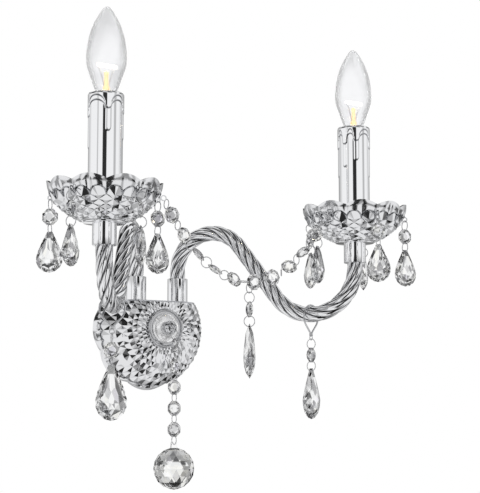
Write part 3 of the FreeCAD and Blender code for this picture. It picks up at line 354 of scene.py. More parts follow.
def swept(stations, section):
    """A bmesh drawn along stations, each a matrix, by extruding a ring of (x, y) points.

    section is one list of points, or a function that gives it for each station's number.
    """
    bm = bmesh.new()
    ring_at = section if callable(section) else (lambda number: section)
    verts = [bm.verts.new(stations[0] @ Vector((x, y, 0))) for x, y in ring_at(0)]
    loop = [bm.edges.new((verts[i - 1], verts[i])) for i in range(len(verts))]
    last = verts
    for number, station in enumerate(stations[1:], 1):
        made = set(bmesh.ops.extrude_edge_only(bm, edges=loop)["geom"])
        loop = [g for g in made if isinstance(g, bmesh.types.BMEdge) and made.issuperset(g.verts)]
        last = [next(v for e in old.link_edges if (v := e.other_vert(old)) in made) for old in last]
        for vert, (x, y) in zip(last, ring_at(number)):
            vert.co = station @ Vector((x, y, 0))
    bm.faces.new(verts)
    bm.faces.new(last)
    bmesh.ops.recalc_face_normals(bm, faces=bm.faces)
    return bm


def circle(radius, count):
    """(x, y) points of a circle in millimetres."""
    turns = [2 * math.pi * i / count for i in range(count)]
    return [(radius * MM * math.cos(t), radius * MM * math.sin(t)) for t in turns]


print("helpers ready")

# %% [markdown]
# ## Where the crystals and links hang
# The frame already holds every crystal and wire link in its place. Each solid is read as a cloud of
# points: the direction in which it is thinnest is the way it faces, so the finely cut piece can be
# set exactly where the plain one was.

# %% Read the solids of a node
def solids(node):
    """The separate solids in a node, each as an array of points in metres."""
    bm = bmesh.new()
    bm.from_mesh(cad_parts[node].data)
    bmesh.ops.remove_doubles(bm, verts=bm.verts, dist=1e-5)
    seen = set()
    clouds = []
    for vert in bm.verts:
        if vert in seen:
            continue
        seen.add(vert)
        group = [vert]
        for found in group:
            for edge in found.link_edges:
                other = edge.other_vert(found)
                if other not in seen:
                    seen.add(other)
                    group.append(other)
        clouds.append(np.array([v.co[:] for v in group]))
    bm.free()
    return clouds


def facing(cloud):
    """The direction in which a cloud of points is thinnest."""
    spread = np.cov((cloud - cloud.mean(axis=0)).T)
    return Vector(np.linalg.eigh(spread)[1][:, 0])


def middle(cloud):
    return Vector((cloud.min(axis=0) + cloud.max(axis=0)) / 2)


def extent(cloud, direction):
    along = cloud @ np.array(direction)
    return float(along.max() - along.min())


print("garland beads:", len(solids("garland_crystals")), "links:", len(solids("garland_rings")))

# %% [markdown]
# A cut crystal is a convex body, so its facets come from a few rings of corners: the girdle, a
# ring between the girdle and the flat table, and the table. `convex_hull` stretches the facets over
# them, and the rings are half a step out of line, which gives the kite and star facets of a real
# cut.

# %% Cut shapes
def hull(points):
    """A bmesh of the flat facets stretched over points, in metres."""
    bm = bmesh.new()
    for point in points:
        bm.verts.new(point)
    bmesh.ops.convex_hull(bm, input=bm.verts, use_existing_faces=False)
    bmesh.ops.delete(bm, geom=[v for v in bm.verts if not v.link_faces], context="VERTS")
    bmesh.ops.dissolve_limit(bm, angle_limit=math.radians(1.0), verts=bm.verts, edges=bm.edges)
    bmesh.ops.recalc_face_normals(bm, faces=bm.faces)
    return bm


def number_facets(bm, seed):
    """Gives every facet a steady random number in the attribute that its finish reads."""
    chance = random.Random(seed)
    layer = bm.faces.layers.float.new("facet")
    for face in bm.faces:
        face[layer] = chance.random()


def cut_bead(width, thickness):
    """An octagon bead facing along Y, with its middle at the origin."""
    points = []
    corner = width / 2 / math.cos(math.pi / 8)
    rings = ((corner, 0.0, 0.5), (corner * 0.70, 0.36, 0.0), (corner * 0.44, 0.5, 0.5))
    for radius, depth, shift in rings:
        for i in range(8):
            turn = 2 * math.pi * (i + shift) / 8
            for way in ((-1, 1) if depth else (1,)):
                y = way * depth * thickness
                points.append((radius * math.cos(turn), y, radius * math.sin(turn)))
    return hull(points)


PENDANT_SIDE = [(0.19, 0.0), (0.42, 0.16), (0.66, 0.32), (0.87, 0.48), (0.985, 0.62), (0.97, 0.75),
                (0.77, 0.88), (0.40, 0.97)]


def cut_pendant(width, height, thickness):
    """A pear-shaped drop facing along Y, with the origin at its top."""
    outline = [(x * width / 2, -z * height) for x, z in PENDANT_SIDE]
    outline += [(0.0, -height)] + [(-x, z) for x, z in reversed(outline)]
    centre = -0.62 * height
    points = [(x, 0.0, z) for x, z in outline]
    for scale, depth, skip in ((0.72, 0.32, 0), (0.46, 0.45, 1), (0.22, 0.5, 0)):
        for i in range(skip, len(outline), 2):
            x = outline[i][0] * scale
            z = centre + (outline[i][1] - centre) * scale
            points += [(x, depth * thickness, z), (x, -depth * thickness, z)]
    return hull(points)


def cut_ball(width, height):
    """The ball under the chain, with a thin flat neck and the origin at its top."""
    radius = width / 2
    centre = -height + radius * 1.02
    corners = ((-2.9, 0.0), (2.9, 0.0), (-3.4, -7.5), (3.4, -7.5))
    neck = hull([(x * MM, y * MM, z * MM) for x, z in corners for y in (-0.85, 0.85)])
    points = []
    for level in range(9):
        lift = math.radians(-80 + 20 * level)
        for i in range(16):
            turn = 2 * math.pi * (i + level % 2 / 2) / 16
            flat = radius * math.cos(lift)
            points.append((flat * math.cos(turn), flat * math.sin(turn), centre + radius * math.sin(lift)))
    points.append((0, 0, -height))
    ball = hull(points)
    join(ball, neck)
    return ball


def link(radius, wire=0.8):
    """A round wire link facing along Y, with its middle at the origin."""
    bm = bmesh.new()
    made = bmesh.ops.create_circle(bm, segments=8, radius=wire / 2 * MM)["verts"]
    bmesh.ops.rotate(bm, verts=made, matrix=Matrix.Rotation(math.radians(90), 3, "X"))
    bmesh.ops.translate(bm, verts=made, vec=(radius, 0, 0))
    bmesh.ops.spin(bm, geom=bm.verts[:] + bm.edges[:], cent=(0, 0, 0), axis=(0, 0, 1),
                   angle=2 * math.pi, steps=28, use_merge=True)
    facing_out(bm)
    bmesh.ops.recalc_face_normals(bm, faces=bm.faces)
    return bm


print("pendant facets:", len(cut_pendant(0.024, 0.035, 0.009).faces))

# %% Replace the crystals and links of each string
BEAD_BELOW = 0.016        # a crystal lower than this is a bead
BALL_ABOVE = 0.03         # a crystal thicker than this is the ball


def set_crystals(node, body, ups=None):
    """Sets finely cut crystals where a node's plain ones are."""
    bm = bmesh.new()
    for number, cloud in enumerate(solids(node)):
        face = facing(cloud)
        up = ups[number] if ups else UP
        across = face.cross(up).normalized()
        width, thickness = extent(cloud, across), extent(cloud, face)
        height = extent(cloud, up)
        spot = middle(cloud)
        if height < BEAD_BELOW:
            piece = cut_bead(height, thickness)
        elif thickness > BALL_ABOVE:
            piece = cut_ball(width, height)
            spot.z = cloud[:, 2].max()
            face = Vector((0, 1, 0))
        else:
            piece = cut_pendant(width, height, thickness)
            spot.z = cloud[:, 2].max()
        bmesh.ops.transform(piece, matrix=Matrix.Translation(spot) @ axes(up, face), verts=piece.verts)
        join(bm, piece)
    number_facets(bm, node)
    return add_piece(node.replace("_crystals", "_cut"), bm, crystal, body, [node])


def set_links(node, body, keep=0, extra=None):
    """Sets round wire links where a node's plain ones are, after the first keep solids."""
    bm = bmesh.new() if extra is None else extra
    clouds = sorted(solids(node), key=len, reverse=True)[keep:]
    for cloud in clouds:
        face = facing(cloud)
        radius = extent(cloud, UP.cross(face) if abs(face.z) < 0.9 else Vector((0, 1, 0))) / 2
        piece = link(radius - 0.4 * MM)
        up = UP if abs(face.z) < 0.9 else Vector((0, 1, 0))
        place = Matrix.Translation(middle(cloud)) @ axes(up, face)
        bmesh.ops.transform(piece, matrix=place, verts=piece.verts)
        join(bm, piece)
    name = node.replace("_rings", "_links").replace("_wires", "_loop")
    return add_piece(name, bm, wire_chrome, body, [node], 60)


for side in SIDES:
    for string in STRINGS:
        set_crystals(side + "_" + string + "_crystals", side + "_" + string)
        set_links(side + "_" + string + "_rings", side + "_" + string)
    set_crystals(side + "_arm_drop_crystals", side + "_arm_drop")
for string in ("garland_drop", "centre_chain"):
    set_crystals(string + "_crystals", string)
    set_links(string + "_rings", string)

# %% [markdown]
# The garland's beads lie along a curve, so their own upright is the line between the two links
# next to each of them.

# %% Garland
link_spots = [middle(cloud) for cloud in solids("garland_rings")]
bead_ups = []
for cloud in solids("garland_crystals"):
    near = sorted(link_spots, key=lambda spot: (spot - middle(cloud)).length)[:2]
    bead_ups.append((near[0] - near[1]).normalized())
set_crystals("garland_crystals", "garland", bead_ups)
set_links("garland_rings", "garland")

# %% [markdown]
# ## Wire loops over the arms
# A stout wire is bent into a drop-shaped loop, laid over the arm and closed below by a small clip.
# It is a ring of points swept round the loop's own line.

# %% Arm loops
LOOP_ROUND = 11.3         # rounded top, to the middle of the wire
LOOP_HEIGHT = 27.6        # top to lower point, to the middle of the wire
LOOP_WIRE = 1.8
LOOP_EYE_R = 2.1          # eye under the loop, to the middle of its wire


def stations_along(points, hint):
    """Matrices along a line of points, each with its Z along the line."""
    stations = []
    for i, point in enumerate(points):
        before, after = points[max(i - 1, 0)], points[min(i + 1, len(points) - 1)]
        ahead = (after - before).normalized()
        x = ahead.cross(hint).normalized()
        turn = Matrix((x, ahead.cross(x), ahead)).transposed().to_4x4()
        stations.append(Matrix.Translation(point) @ turn)
    return stations


def arm_loop():
    """The bent wire facing along Y, with the origin at the middle of its rounded top."""
    lean = math.asin(LOOP_ROUND / (LOOP_HEIGHT - LOOP_ROUND))
    line = []
    for i in range(33):
        turn = -lean + (math.pi + 2 * lean) * i / 32
        line.append(Vector((math.cos(turn), 0, math.sin(turn))) * LOOP_ROUND * MM)
    foot = Vector((0, 0, LOOP_ROUND - LOOP_HEIGHT)) * MM
    right = [foot.lerp(line[0], t) for t in (0.02, 0.3, 0.65)]
    left = [line[-1].lerp(foot, t) for t in (0.35, 0.7, 0.98)]
    return swept(stations_along(right + line + left, Vector((0, 1, 0))), circle(LOOP_WIRE / 2, 12))


for side in SIDES:
    cloud = max(solids(side + "_arm_drop_wires"), key=len)
    face = facing(cloud)
    top = middle(cloud)
    top.z = cloud[:, 2].max() - (LOOP_ROUND + LOOP_WIRE / 2) * MM
    bm = arm_loop()
    clip = turned([(0, 2.0), (1.3, 2.0), (1.7, 1.2), (1.7, -1.2), (1.3, -2.0), (0, -2.0)], 20)
    bmesh.ops.translate(clip, verts=clip.verts, vec=(0, 0, (LOOP_ROUND - LOOP_HEIGHT - 0.4) * MM))
    join(bm, clip)
    eye = link(LOOP_EYE_R * MM)
    bmesh.ops.translate(eye, verts=eye.verts, vec=(0, 0, (LOOP_ROUND - LOOP_HEIGHT - 3.6) * MM))
    join(bm, eye)
    bmesh.ops.transform(bm, matrix=Matrix.Translation(top) @ axes(UP, face), verts=bm.verts)
    set_links(side + "_arm_drop_wires", side + "_arm_drop", keep=1, extra=bm)

# %% [markdown]
# ## Diamond-cut bowls
# Both drip cups and the wall dish are the same kind of moulding: a smooth petalled band, a row of
# round-headed cuts with raised borders, and rows of diamonds that shrink towards the foot. A grid
# is spun round the axis. Every second corner of the grid is pulled out, and each square is split
# between its other two corners, so that the squares become four-sided pyramids.

# %% Sizes of the two bowls
CUP = SimpleNamespace(
    petals=10, gems=20, rows=8, rim_r=49.5, rim_z=109.7, dip=1.2, rise=4.2, band_r=47.2, band_z=104.0,
    cut_r=42.5, cut_z=97.0, foot_r=18.9, foot_z=80.0, bulge=1.6, wall=2.0, floor_r=19.4, floor_z=82.0,
    hole_r=4.2, fall=-1, swell=0.7, border=0.7,
)
DISH = SimpleNamespace(
    petals=8, gems=36, rows=9, rim_r=59.7, rim_z=0.0, dip=3.5, rise=0.0, band_r=55.3, band_z=7.0,
    cut_r=54.5, cut_z=12.0, foot_r=17.5, foot_z=37.0, bulge=8.6, wall=2.2, floor_r=24.0, floor_z=34.8,
    hole_r=3.2, fall=1, swell=0.6, border=0.5,
)
GEM_RISE = 0.15           # height of a diamond, as a share of its width
HEAD_SLOPE = 0.6          # slope of a round head's flats, as a share of a diamond's
ROW_TAPER = 0.91          # height of each row, as a share of the one before
print("diamonds:", CUP.gems * CUP.rows, "on a cup,", DISH.gems * DISH.rows, "on the dish")


def bowl_side(b, share, out=0.0):
    """(radius, height) down a bowl's cut side, standing off it by out millimetres."""
    def curve(t):
        run, drop = b.foot_r - b.cut_r, b.foot_z - b.cut_z
        swell = b.bulge * math.sin(math.pi * t) / math.hypot(run, drop)
        return b.cut_r + run * t + swell * abs(drop), b.cut_z + drop * t + b.fall * swell * abs(run)
    r, z = curve(share)
    r2, z2 = curve(share + 0.01)
    run, drop = r - r2, abs(z2 - z)
    length = math.hypot(run, drop)
    return r + out * drop / length, z + b.fall * out * run / length


def row_share(b, row):
    return (1 - ROW_TAPER ** row) / (1 - ROW_TAPER ** b.rows)


def at(radius, turn, height):
    return Vector((radius * math.cos(turn), radius * math.sin(turn), height)) * MM


# %% The net of diamonds
def diamond_net(b):
    levels = [bowl_side(b, row_share(b, row)) for row in range(b.rows + 1)]
    bm = spun([at(r, 0, z) for r, z in levels], 2 * b.gems)
    places = {}
    for vert in bm.verts:
        r, z = math.hypot(vert.co.x, vert.co.y) / MM, vert.co.z / MM
        row = min(range(len(levels)), key=lambda k: math.hypot(levels[k][0] - r, levels[k][1] - z))
        step = round(math.atan2(vert.co.y, vert.co.x) / (math.pi / b.gems))
        places[vert] = (row, step)
    for face in list(bm.faces):
        corners = [v for v in face.verts if sum(places[v]) % 2 == 0]
        bmesh.utils.face_split(face, *corners)
    for vert, (row, step) in places.items():
        if (row + step) % 2 and row < b.rows:
            share = row_share(b, row)
            width = 2 * math.pi * bowl_side(b, share)[0] / b.gems
            r, z = bowl_side(b, share, GEM_RISE * width)
            vert.co = at(r, step * math.pi / b.gems, z)
    foot = [e for e in bm.edges if e.is_boundary and all(places[v][0] == b.rows for v in e.verts)]
    made = bmesh.ops.extrude_edge_only(bm, edges=foot)["geom"]
    for vert in (g for g in made if isinstance(g, bmesh.types.BMVert)):
        vert.co = at(b.hole_r, math.atan2(vert.co.y, vert.co.x), b.foot_z)
    return bm


print("first row begins at", [round(value, 1) for value in bowl_side(CUP, 0.0)])

# %% Round-headed cuts and their borders
def on_arch(b, u, v, out=0.0):
    """A point over the first row: u runs across one arch and v from its feet to its head."""
    r = b.cut_r + (b.band_r - b.cut_r) * v
    z = b.cut_z + (b.band_z - b.cut_z) * v
    return at(r + out, (0.5 + u / 2) * 2 * math.pi / b.gems, z + b.fall * out * 0.4)


def repeat_round(bm, count):
    bmesh.ops.spin(bm, geom=everything(bm), cent=(0, 0, 0), axis=(0, 0, 1),
                   angle=2 * math.pi * (count - 1) / count, steps=count - 1, use_duplicate=True)


def arch_heads(b):
    bm = bmesh.new()
    bmesh.ops.create_circle(bm, cap_ends=True, cap_tris=True, segments=16, radius=1.0)
    bmesh.ops.bisect_plane(bm, geom=everything(bm), plane_co=(0, 0, 0),
                           plane_no=(0, 1, 0), dist=1e-4, clear_inner=True)
    width = 2 * math.pi * b.cut_r / b.gems
    r, z = bowl_side(b, 0.0, GEM_RISE * width)
    for vert in bm.verts:
        u, v = vert.co.x, max(vert.co.y, 0.0)
        out = HEAD_SLOPE * GEM_RISE * width * (1 - abs(u) - v)
        vert.co = at(r, math.pi / b.gems, z) if abs(u) < 0.01 and v < 0.01 else on_arch(b, u, v, out)
    repeat_round(bm, b.gems)
    return bm


def arch_borders(b):
    line = []
    for i in range(13):
        turn = math.pi * i / 12
        line.append(on_arch(b, math.cos(turn), math.sin(turn), 0.15))
    out = at(1, math.pi / b.gems, 0).normalized()
    bm = swept(stations_along(line, out), circle(b.border, 6))
    repeat_round(bm, b.gems)
    return bm


print("width of a round head:", round(2 * math.pi * CUP.cut_r / CUP.gems, 1))

# %% The smooth band, the inside and the whole bowl
def petal(b, turn):
    return abs(math.sin(turn * b.petals / 2))


def band(b, levels=9):
    bm = spun([(1, 0, i / (levels - 1)) for i in range(levels)], 8 * b.gems)
    rim = [e for e in bm.edges if min(v.co.z for v in e.verts) > 0.999]
    made = bmesh.ops.extrude_edge_only(bm, edges=rim)["geom"]
    inner = {g for g in made if isinstance(g, bmesh.types.BMVert)}
    pitch = 2 * math.pi / b.gems
    for vert in bm.verts:
        turn = math.atan2(vert.co.y, vert.co.x) % (2 * math.pi)
        up = vert.co.z
        across = (turn % pitch) / pitch * 2 - 1
        low = on_arch(b, across, math.sqrt(max(0.0, 1 - across ** 2)))
        low_r = math.hypot(low.x, low.y) / MM
        rim_r = b.rim_r - b.dip * (1 - petal(b, turn))
        rim_z = b.rim_z - b.fall * b.rise * petal(b, turn)
        bow = b.swell * math.sin(math.pi * up)
        r = low_r + (rim_r - low_r) * up + bow - (b.wall if vert in inner else 0.0)
        z = low.z / MM + (rim_z - low.z / MM) * up
        vert.co = at(r, turn, z)
    return bm


def inside(b):
    line = [(b.rim_r - b.wall, b.rim_z, 1.0), (b.band_r - b.wall, b.band_z, 0.45)]
    line += [(*bowl_side(b, share, -b.wall), 0.0) for share in (0.0, 0.15, 0.3, 0.45, 0.6)]
    line += [(b.floor_r, b.floor_z, 0.0), (b.hole_r, b.floor_z, 0.0), (b.hole_r, b.foot_z, 0.0)]
    bm = spun([at(r, 0, z) for r, z, _ in line], 8 * b.gems)
    for vert in bm.verts:
        r, z = math.hypot(vert.co.x, vert.co.y) / MM, vert.co.z / MM
        for line_r, line_z, follow in line:
            if follow and abs(r - line_r) < 0.01 and abs(z - line_z) < 0.01:
                turn = math.atan2(vert.co.y, vert.co.x)
                lift = petal(b, turn)
                vert.co = at(r - follow * b.dip * (1 - lift), turn, z - b.fall * follow * b.rise * lift)
    return bm


def cut_bowl(b):
    """The whole bowl on the upright axis: facets flat, band and inside smooth."""
    bm = bmesh.new()
    bm.faces.layers.float.new("satin")
    bm.faces.layers.float.new("painted_shade_line")
    # The raised borders of the cuts are marked for their painted dark reflection; the other parts are not.
    parts = [
        (diamond_net(b), False, 0.0, 0.0), (arch_heads(b), False, 0.0, 0.0), (band(b), True, 1.0, 0.0),
        (inside(b), True, 1.0, 0.0), (arch_borders(b), True, 0.0, 1.0),
    ]
    for part, smooth, satin, dark in parts:
        satin_mark = part.faces.layers.float.new("satin")
        border_shade_mark = part.faces.layers.float.new("painted_shade_line")
        for face in part.faces:
            face.smooth = smooth
            face[satin_mark] = satin
            face[border_shade_mark] = dark
        join(bm, part)
    bmesh.ops.remove_doubles(bm, verts=bm.verts, dist=2e-6)
    bmesh.ops.recalc_face_normals(bm, faces=bm.faces)
    for edge in bm.edges:
        folded = edge.calc_face_angle(0.0) > math.radians(50)
        edge.smooth = not folded and all(face.smooth for face in edge.link_faces)
    for face in bm.faces:
        face.smooth = True
    return bm


CUP_TURN = 11.0           # degrees that set the petals as they stand on the real light
for side, way in SIDES.items():
    bm = cut_bowl(CUP)
    turn = Matrix.Rotation(math.radians(-90 - way * CUP_TURN), 4, "Z")
    bmesh.ops.transform(bm, matrix=Matrix.Translation(lamp_axis[side]) @ turn, verts=bm.verts)
    add_piece(side + "_cut_cup", bm, moulded_chrome, "fixture", [side + "_drip_cup"])

# %% [markdown]
# The dish is laid on its back, with its rim on the wall, and cut flat at the top, where the
# bracket's plate closes it.

# %% Wall dish
bm = cut_bowl(DISH)
bmesh.ops.rotate(bm, verts=bm.verts, matrix=Matrix.Rotation(math.pi / DISH.petals, 3, "Z"))
facing_out(bm)
plate_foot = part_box("wall_dish")[1][2]
bmesh.ops.bisect_plane(bm, geom=everything(bm), plane_co=(0, 0, plate_foot),
                       plane_no=(0, 0, 1), clear_outer=True)
add_piece("cut_wall_dish", bm, moulded_chrome, "fixture", ["wall_dish"])

# %% [markdown]
# ## Twisted arms
# Each arm is a tube with six rope strands round it. One section with six soft lobes is extruded
# along the bent centre line, turning a little at every station.

# %% Arms
ROOT = Vector((23.4, -20.6, 0))
LAMP = Vector((132.7, -168.9, 0))
ARCH_BEND, ARCH_BEND_Z = 36.7, 58.4   # radius and middle of the bend over the dish
LOW_BEND, LOW_BEND_Z = 44.2, 56.2     # radius and middle of the bend under the cup
ARM_CREST, ARM_GROOVE = 7.5, 6.3
TWIST_PITCH = 88.0        # length of arm for one whole turn
ARM_STEP = 1.7            # from one section to the next
plate_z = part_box("root_sleeves")[0][2] / MM
seat_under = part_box("seat_plates")[0][2] / MM - 2.0
reach = (LAMP - ROOT).length


def arm_line(step):
    """(run, height, slope, length so far) along an arm in its own upright plane."""
    span = reach - LOW_BEND - ARCH_BEND
    drop = LOW_BEND_Z - ARCH_BEND_Z
    between = math.hypot(span, drop)
    slope = math.atan2(drop, span) - math.asin((ARCH_BEND + LOW_BEND) / between)
    bend = math.pi / 2 - slope
    straight = math.sqrt(between ** 2 - (ARCH_BEND + LOW_BEND) ** 2)
    parts = [ARCH_BEND_Z - plate_z, bend * ARCH_BEND, straight, bend * LOW_BEND, seat_under - LOW_BEND_Z]
    total = sum(parts)
    line = []
    for i in range(int(total / step) + 1):
        length = total * i / int(total / step)
        along, part = length, 0
        while part < 4 and along > parts[part]:
            along -= parts[part]
            part += 1
        if part == 0:
            spot = (0.0, plate_z + along, math.pi / 2)
        elif part in (1, 2):
            turn = math.pi - (along / ARCH_BEND if part == 1 else bend)
            run = ARCH_BEND + ARCH_BEND * math.cos(turn)
            height = ARCH_BEND_Z + ARCH_BEND * math.sin(turn)
            on = along if part == 2 else 0.0
            spot = (run + on * math.cos(slope), height + on * math.sin(slope), turn - math.pi / 2)
        elif part == 3:
            turn = 1.5 * math.pi + slope + along / LOW_BEND
            spot = (reach - LOW_BEND + LOW_BEND * math.cos(turn), LOW_BEND_Z + LOW_BEND * math.sin(turn),
                    turn - 1.5 * math.pi)
        else:
            spot = (reach, LOW_BEND_Z + along, math.pi / 2)
        line.append(spot + (length,))
    return line


def rope_section(length, count=72):
    """Points round the arm, with six rounded strands turned by how far along it is."""
    twist = -2 * math.pi * length / TWIST_PITCH
    points = []
    for i in range(count):
        turn = 2 * math.pi * i / count
        strand = abs(math.cos(3 * turn)) ** 0.75
        radius = (ARM_GROOVE + (ARM_CREST - ARM_GROOVE) * strand) * MM
        points.append((radius * math.cos(turn + twist), radius * math.sin(turn + twist)))
    return points


for side, way in SIDES.items():
    mirror = Vector((way, 1, 1))
    heading = ((LAMP - ROOT) * mirror).normalized()
    stations = []
    line = arm_line(ARM_STEP)
    for run, height, slope, length in line:
        across = heading.cross(UP)
        ahead = heading * math.cos(slope) + UP * math.sin(slope)
        over = UP * math.cos(slope) - heading * math.sin(slope)
        spot = (ROOT * mirror + heading * run + UP * height) * MM
        stations.append(Matrix.Translation(spot) @ Matrix((across, over, ahead)).transposed().to_4x4())
    bm = swept(stations, lambda number: rope_section(line[number][3]))
    axis = KDTree(len(stations))
    for number, station in enumerate(stations):
        axis.insert(station.to_translation(), number)
    axis.balance()
    # The grooves between the strands get painted shade, darker the deeper they are.
    groove_shade_mark = bm.verts.layers.float.new("painted_shade_line")
    for vert in bm.verts:
        off = axis.find(vert.co)[2] / MM
        vert[groove_shade_mark] = min(1.0, max(0.0, (ARM_CREST - off) / (ARM_CREST - ARM_GROOVE)))
    add_piece(side + "_rope_arm", bm, rope_chrome, "fixture", [side + "_arm"], 50)

# %% [markdown]
# ## Sleeves, plates and the boss
# These are turned pieces: each one is a profile spun round its axis, with small rounds where a
# real pressing has them.

# %% Sleeves and seat plates
sleeve_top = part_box("root_sleeves")[1][2] / MM
cup_low, cup_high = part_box("cup_sleeves")[0][2] / MM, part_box("cup_sleeves")[1][2] / MM
seat_low, seat_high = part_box("seat_plates")[0][2] / MM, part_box("seat_plates")[1][2] / MM
SLEEVE_BORE = 7.75        # round the arm
NIPPLE_BORE = 4.2         # round the threaded tube
CUP_SLEEVE_ROOF = 2.0     # its closed end, under the cup
root_sleeve = [(SLEEVE_BORE, plate_z), (10.0, plate_z), (10.0, sleeve_top - 0.5), (9.85, sleeve_top - 0.15),
               (9.5, sleeve_top), (7.9, sleeve_top), (SLEEVE_BORE, sleeve_top - 0.3), (SLEEVE_BORE, plate_z)]
cup_sleeve = [(SLEEVE_BORE, cup_low + 0.4), (8.0, cup_low), (10.0, cup_low), (10.3, cup_low + 0.15),
              (10.4, cup_low + 0.6), (10.4, cup_high), (NIPPLE_BORE, cup_high),
              (NIPPLE_BORE, cup_high - CUP_SLEEVE_ROOF), (SLEEVE_BORE, cup_high - CUP_SLEEVE_ROOF),
              (SLEEVE_BORE, cup_low + 0.4)]
seat = [(NIPPLE_BORE, seat_low), (17.9, seat_low), (18.3, seat_low + 0.25), (18.4, seat_low + 0.75),
        (18.3, seat_high - 0.25), (17.9, seat_high), (NIPPLE_BORE, seat_high), (NIPPLE_BORE, seat_low)]


def both_sides(profile, spot, name, node):
    """One turned profile set on the left and the right, as one piece."""
    bm = bmesh.new()
    for way in SIDES.values():
        part = turned(profile, 56)
        bmesh.ops.translate(part, verts=part.verts, vec=spot * Vector((way, 1, 1)) * MM)
        join(bm, part)
    add_piece(name, bm, chrome, "fixture", [node], 35)


both_sides(root_sleeve, ROOT, "root_collars", "root_sleeves")
both_sides(cup_sleeve, LAMP, "cup_collars", "cup_sleeves")
both_sides(seat, LAMP, "cup_seats", "seat_plates")

# %% Rosette, dome and ball nut
def rounded(points, steps):
    """A smooth line through points, in the manner of a bent spline."""
    line = []
    for i in range(len(points) - 1):
        p0, p1 = points[max(i - 1, 0)], points[i]
        p2, p3 = points[i + 1], points[min(i + 2, len(points) - 1)]
        for k in range(steps):
            t = k / steps
            line.append(tuple(
                0.5 * (2 * b + (c - a) * t + (2 * a - 5 * b + 4 * c - d) * t ** 2
                       + (3 * b - a - 3 * c + d) * t ** 3)
                for a, b, c, d in zip(p0, p1, p2, p3)))
    return line + [points[-1]]


STUD_HOLE = 3.2           # bore round the centre stud
front = -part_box("rosette_ring")[1][1] / MM
lip = [(19.2, front), (19.2, front + 2.2), (18.6, front + 3.1), (17.8, front + 3.4), (17.1, front + 2.9),
       (16.5, front + 1.6)]
bm = turned([(STUD_HOLE, front)] + rounded(lip, 3) + [(STUD_HOLE, front + 1.6), (STUD_HOLE, front)], 64)
add_piece("rosette", facing_out(bm), wire_chrome, "fixture", ["rosette_ring"], 40)

dome_foot, dome_front = -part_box("rosette_dome")[1][1] / MM, -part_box("rosette_dome")[0][1] / MM
rise = dome_front - dome_foot
shoulder = [(14.8, dome_foot), (14.5, dome_foot + rise * 0.3), (12.6, dome_foot + rise * 0.68),
            (9.6, dome_foot + rise * 0.92), (6.4, dome_front)]
hollow = [(STUD_HOLE, dome_front), (STUD_HOLE, dome_front - 1.6), (9.0, dome_front - 1.8), (12.6, dome_foot)]
bm = turned(rounded(shoulder, 4) + hollow, 64)
add_piece("boss_dome", facing_out(bm), boss_chrome, "fixture", ["rosette_dome"], 40)

BALL_R = 6.8
BALL_FOOT_R = 5.4         # where the ball meets the dome
EYE_OUT = 56.5            # middle of the chain's eye, out from the wall
EYE_R = 2.1               # to the middle of its wire
WIRE_R = 0.4
EYE_UNDER_LINK = 1.05     # middle of the first link's top wire, down to the middle of the eye's foot
centre = dome_front + math.sqrt(BALL_R ** 2 - BALL_FOOT_R ** 2)
arc = [math.radians(a) for a in np.linspace(-36, 90, 15)]
ball = [(BALL_R * math.cos(a), centre + BALL_R * math.sin(a)) for a in arc]
bm = facing_out(turned([(STUD_HOLE, dome_front), (BALL_FOOT_R, dome_front)] + ball, 40))
eye_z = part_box("centre_chain_rings")[1][2] + (EYE_R - WIRE_R - EYE_UNDER_LINK) * MM
eye = link(EYE_R * MM)
bmesh.ops.translate(eye, verts=eye.verts, vec=(0, -EYE_OUT * MM, eye_z))
join(bm, eye)
shank_z = eye_z + EYE_R * MM
shank_line = [Vector((0, -(centre + 5.0) * MM, shank_z)), Vector((0, -EYE_OUT * MM, shank_z))]
join(bm, swept(stations_along(shank_line, UP), circle(WIRE_R, 10)))
add_piece("ball_cap", bm, wire_chrome, "fixture", ["ball_nut"], 40)

# %% [markdown]
# ## Candle tubes
# Each lamp stands in a tube that looks like a melted candle. Two thin coats of wax run down from
# its rim: between the drips a coat ends in a low arch, and at each drip in a rounded tongue. The
# tube is spun with close rings near its top, and the coats only push its surface out a little.

# %% Wax coats
TUBE_R = 14.7
TUBE_FOOT, TUBE_TOP = 82.0, 191.0
TONGUE = 2.4              # half the width of a tongue
COAT = 0.42               # thickness of one coat
EDGE_RUN = 0.6            # width of the slope at a coat's edge
# The dark line at a coat's edge is a painted shadow.
EDGE_LINE = 0.95          # how far the dark line reaches from a coat's edge
ARCH_DROP = 8.0           # how far a coat comes down from the middle of an arch to a drip
# The upper and the lower coat: depth of the arches, share of each drip's length, half a tongue.
COATS = [(4.0, 0.45, TONGUE * 1.15), (8.2, 1.0, TONGUE * 0.85)]
DRIPS = {
    "left": [(-107, 49), (-19, 35), (53, 41), (118, 44), (185, 38)],
    "right": [(-117, 49), (-72, 40), (-28, 34), (42, 49), (112, 38), (178, 44)],
}


def coat_depth(psi, drips, arch, share, width):
    """How far below the rim a coat reaches at the angle psi, in millimetres."""
    def apart(a):
        return abs((psi - a + 180) % 360 - 180) * math.pi / 180 * TUBE_R
    near = sorted((apart(a), a, length) for a, length in drips)
    off, _, length = near[0]
    if off < width:
        return length * share - width * (1 - math.sqrt(1 - (off / width) ** 2))
    half = (off + near[1][0]) / 2 - width
    u = min(1.0, max(0.0, 1 - (off - width) / max(half, 0.1)))
    return arch + ARCH_DROP * (1 - math.sqrt(1 - u * u))


def wax(psi, below, drips):
    """How far the coats stand out at psi and below the rim, and how close that is to an edge, where a shadow
    is painted.
    """
    out = 0.0
    edges = 0.0
    for arch, share, width in COATS:
        edge = coat_depth(psi, drips, arch, share, width) - below
        t = min(1.0, max(0.0, edge / EDGE_RUN + 0.5))
        out += COAT * t * t * (3 - 2 * t)
        edges = max(edges, 1 - abs(edge + 0.2) / EDGE_LINE)
    return out, max(edges, 0.0)


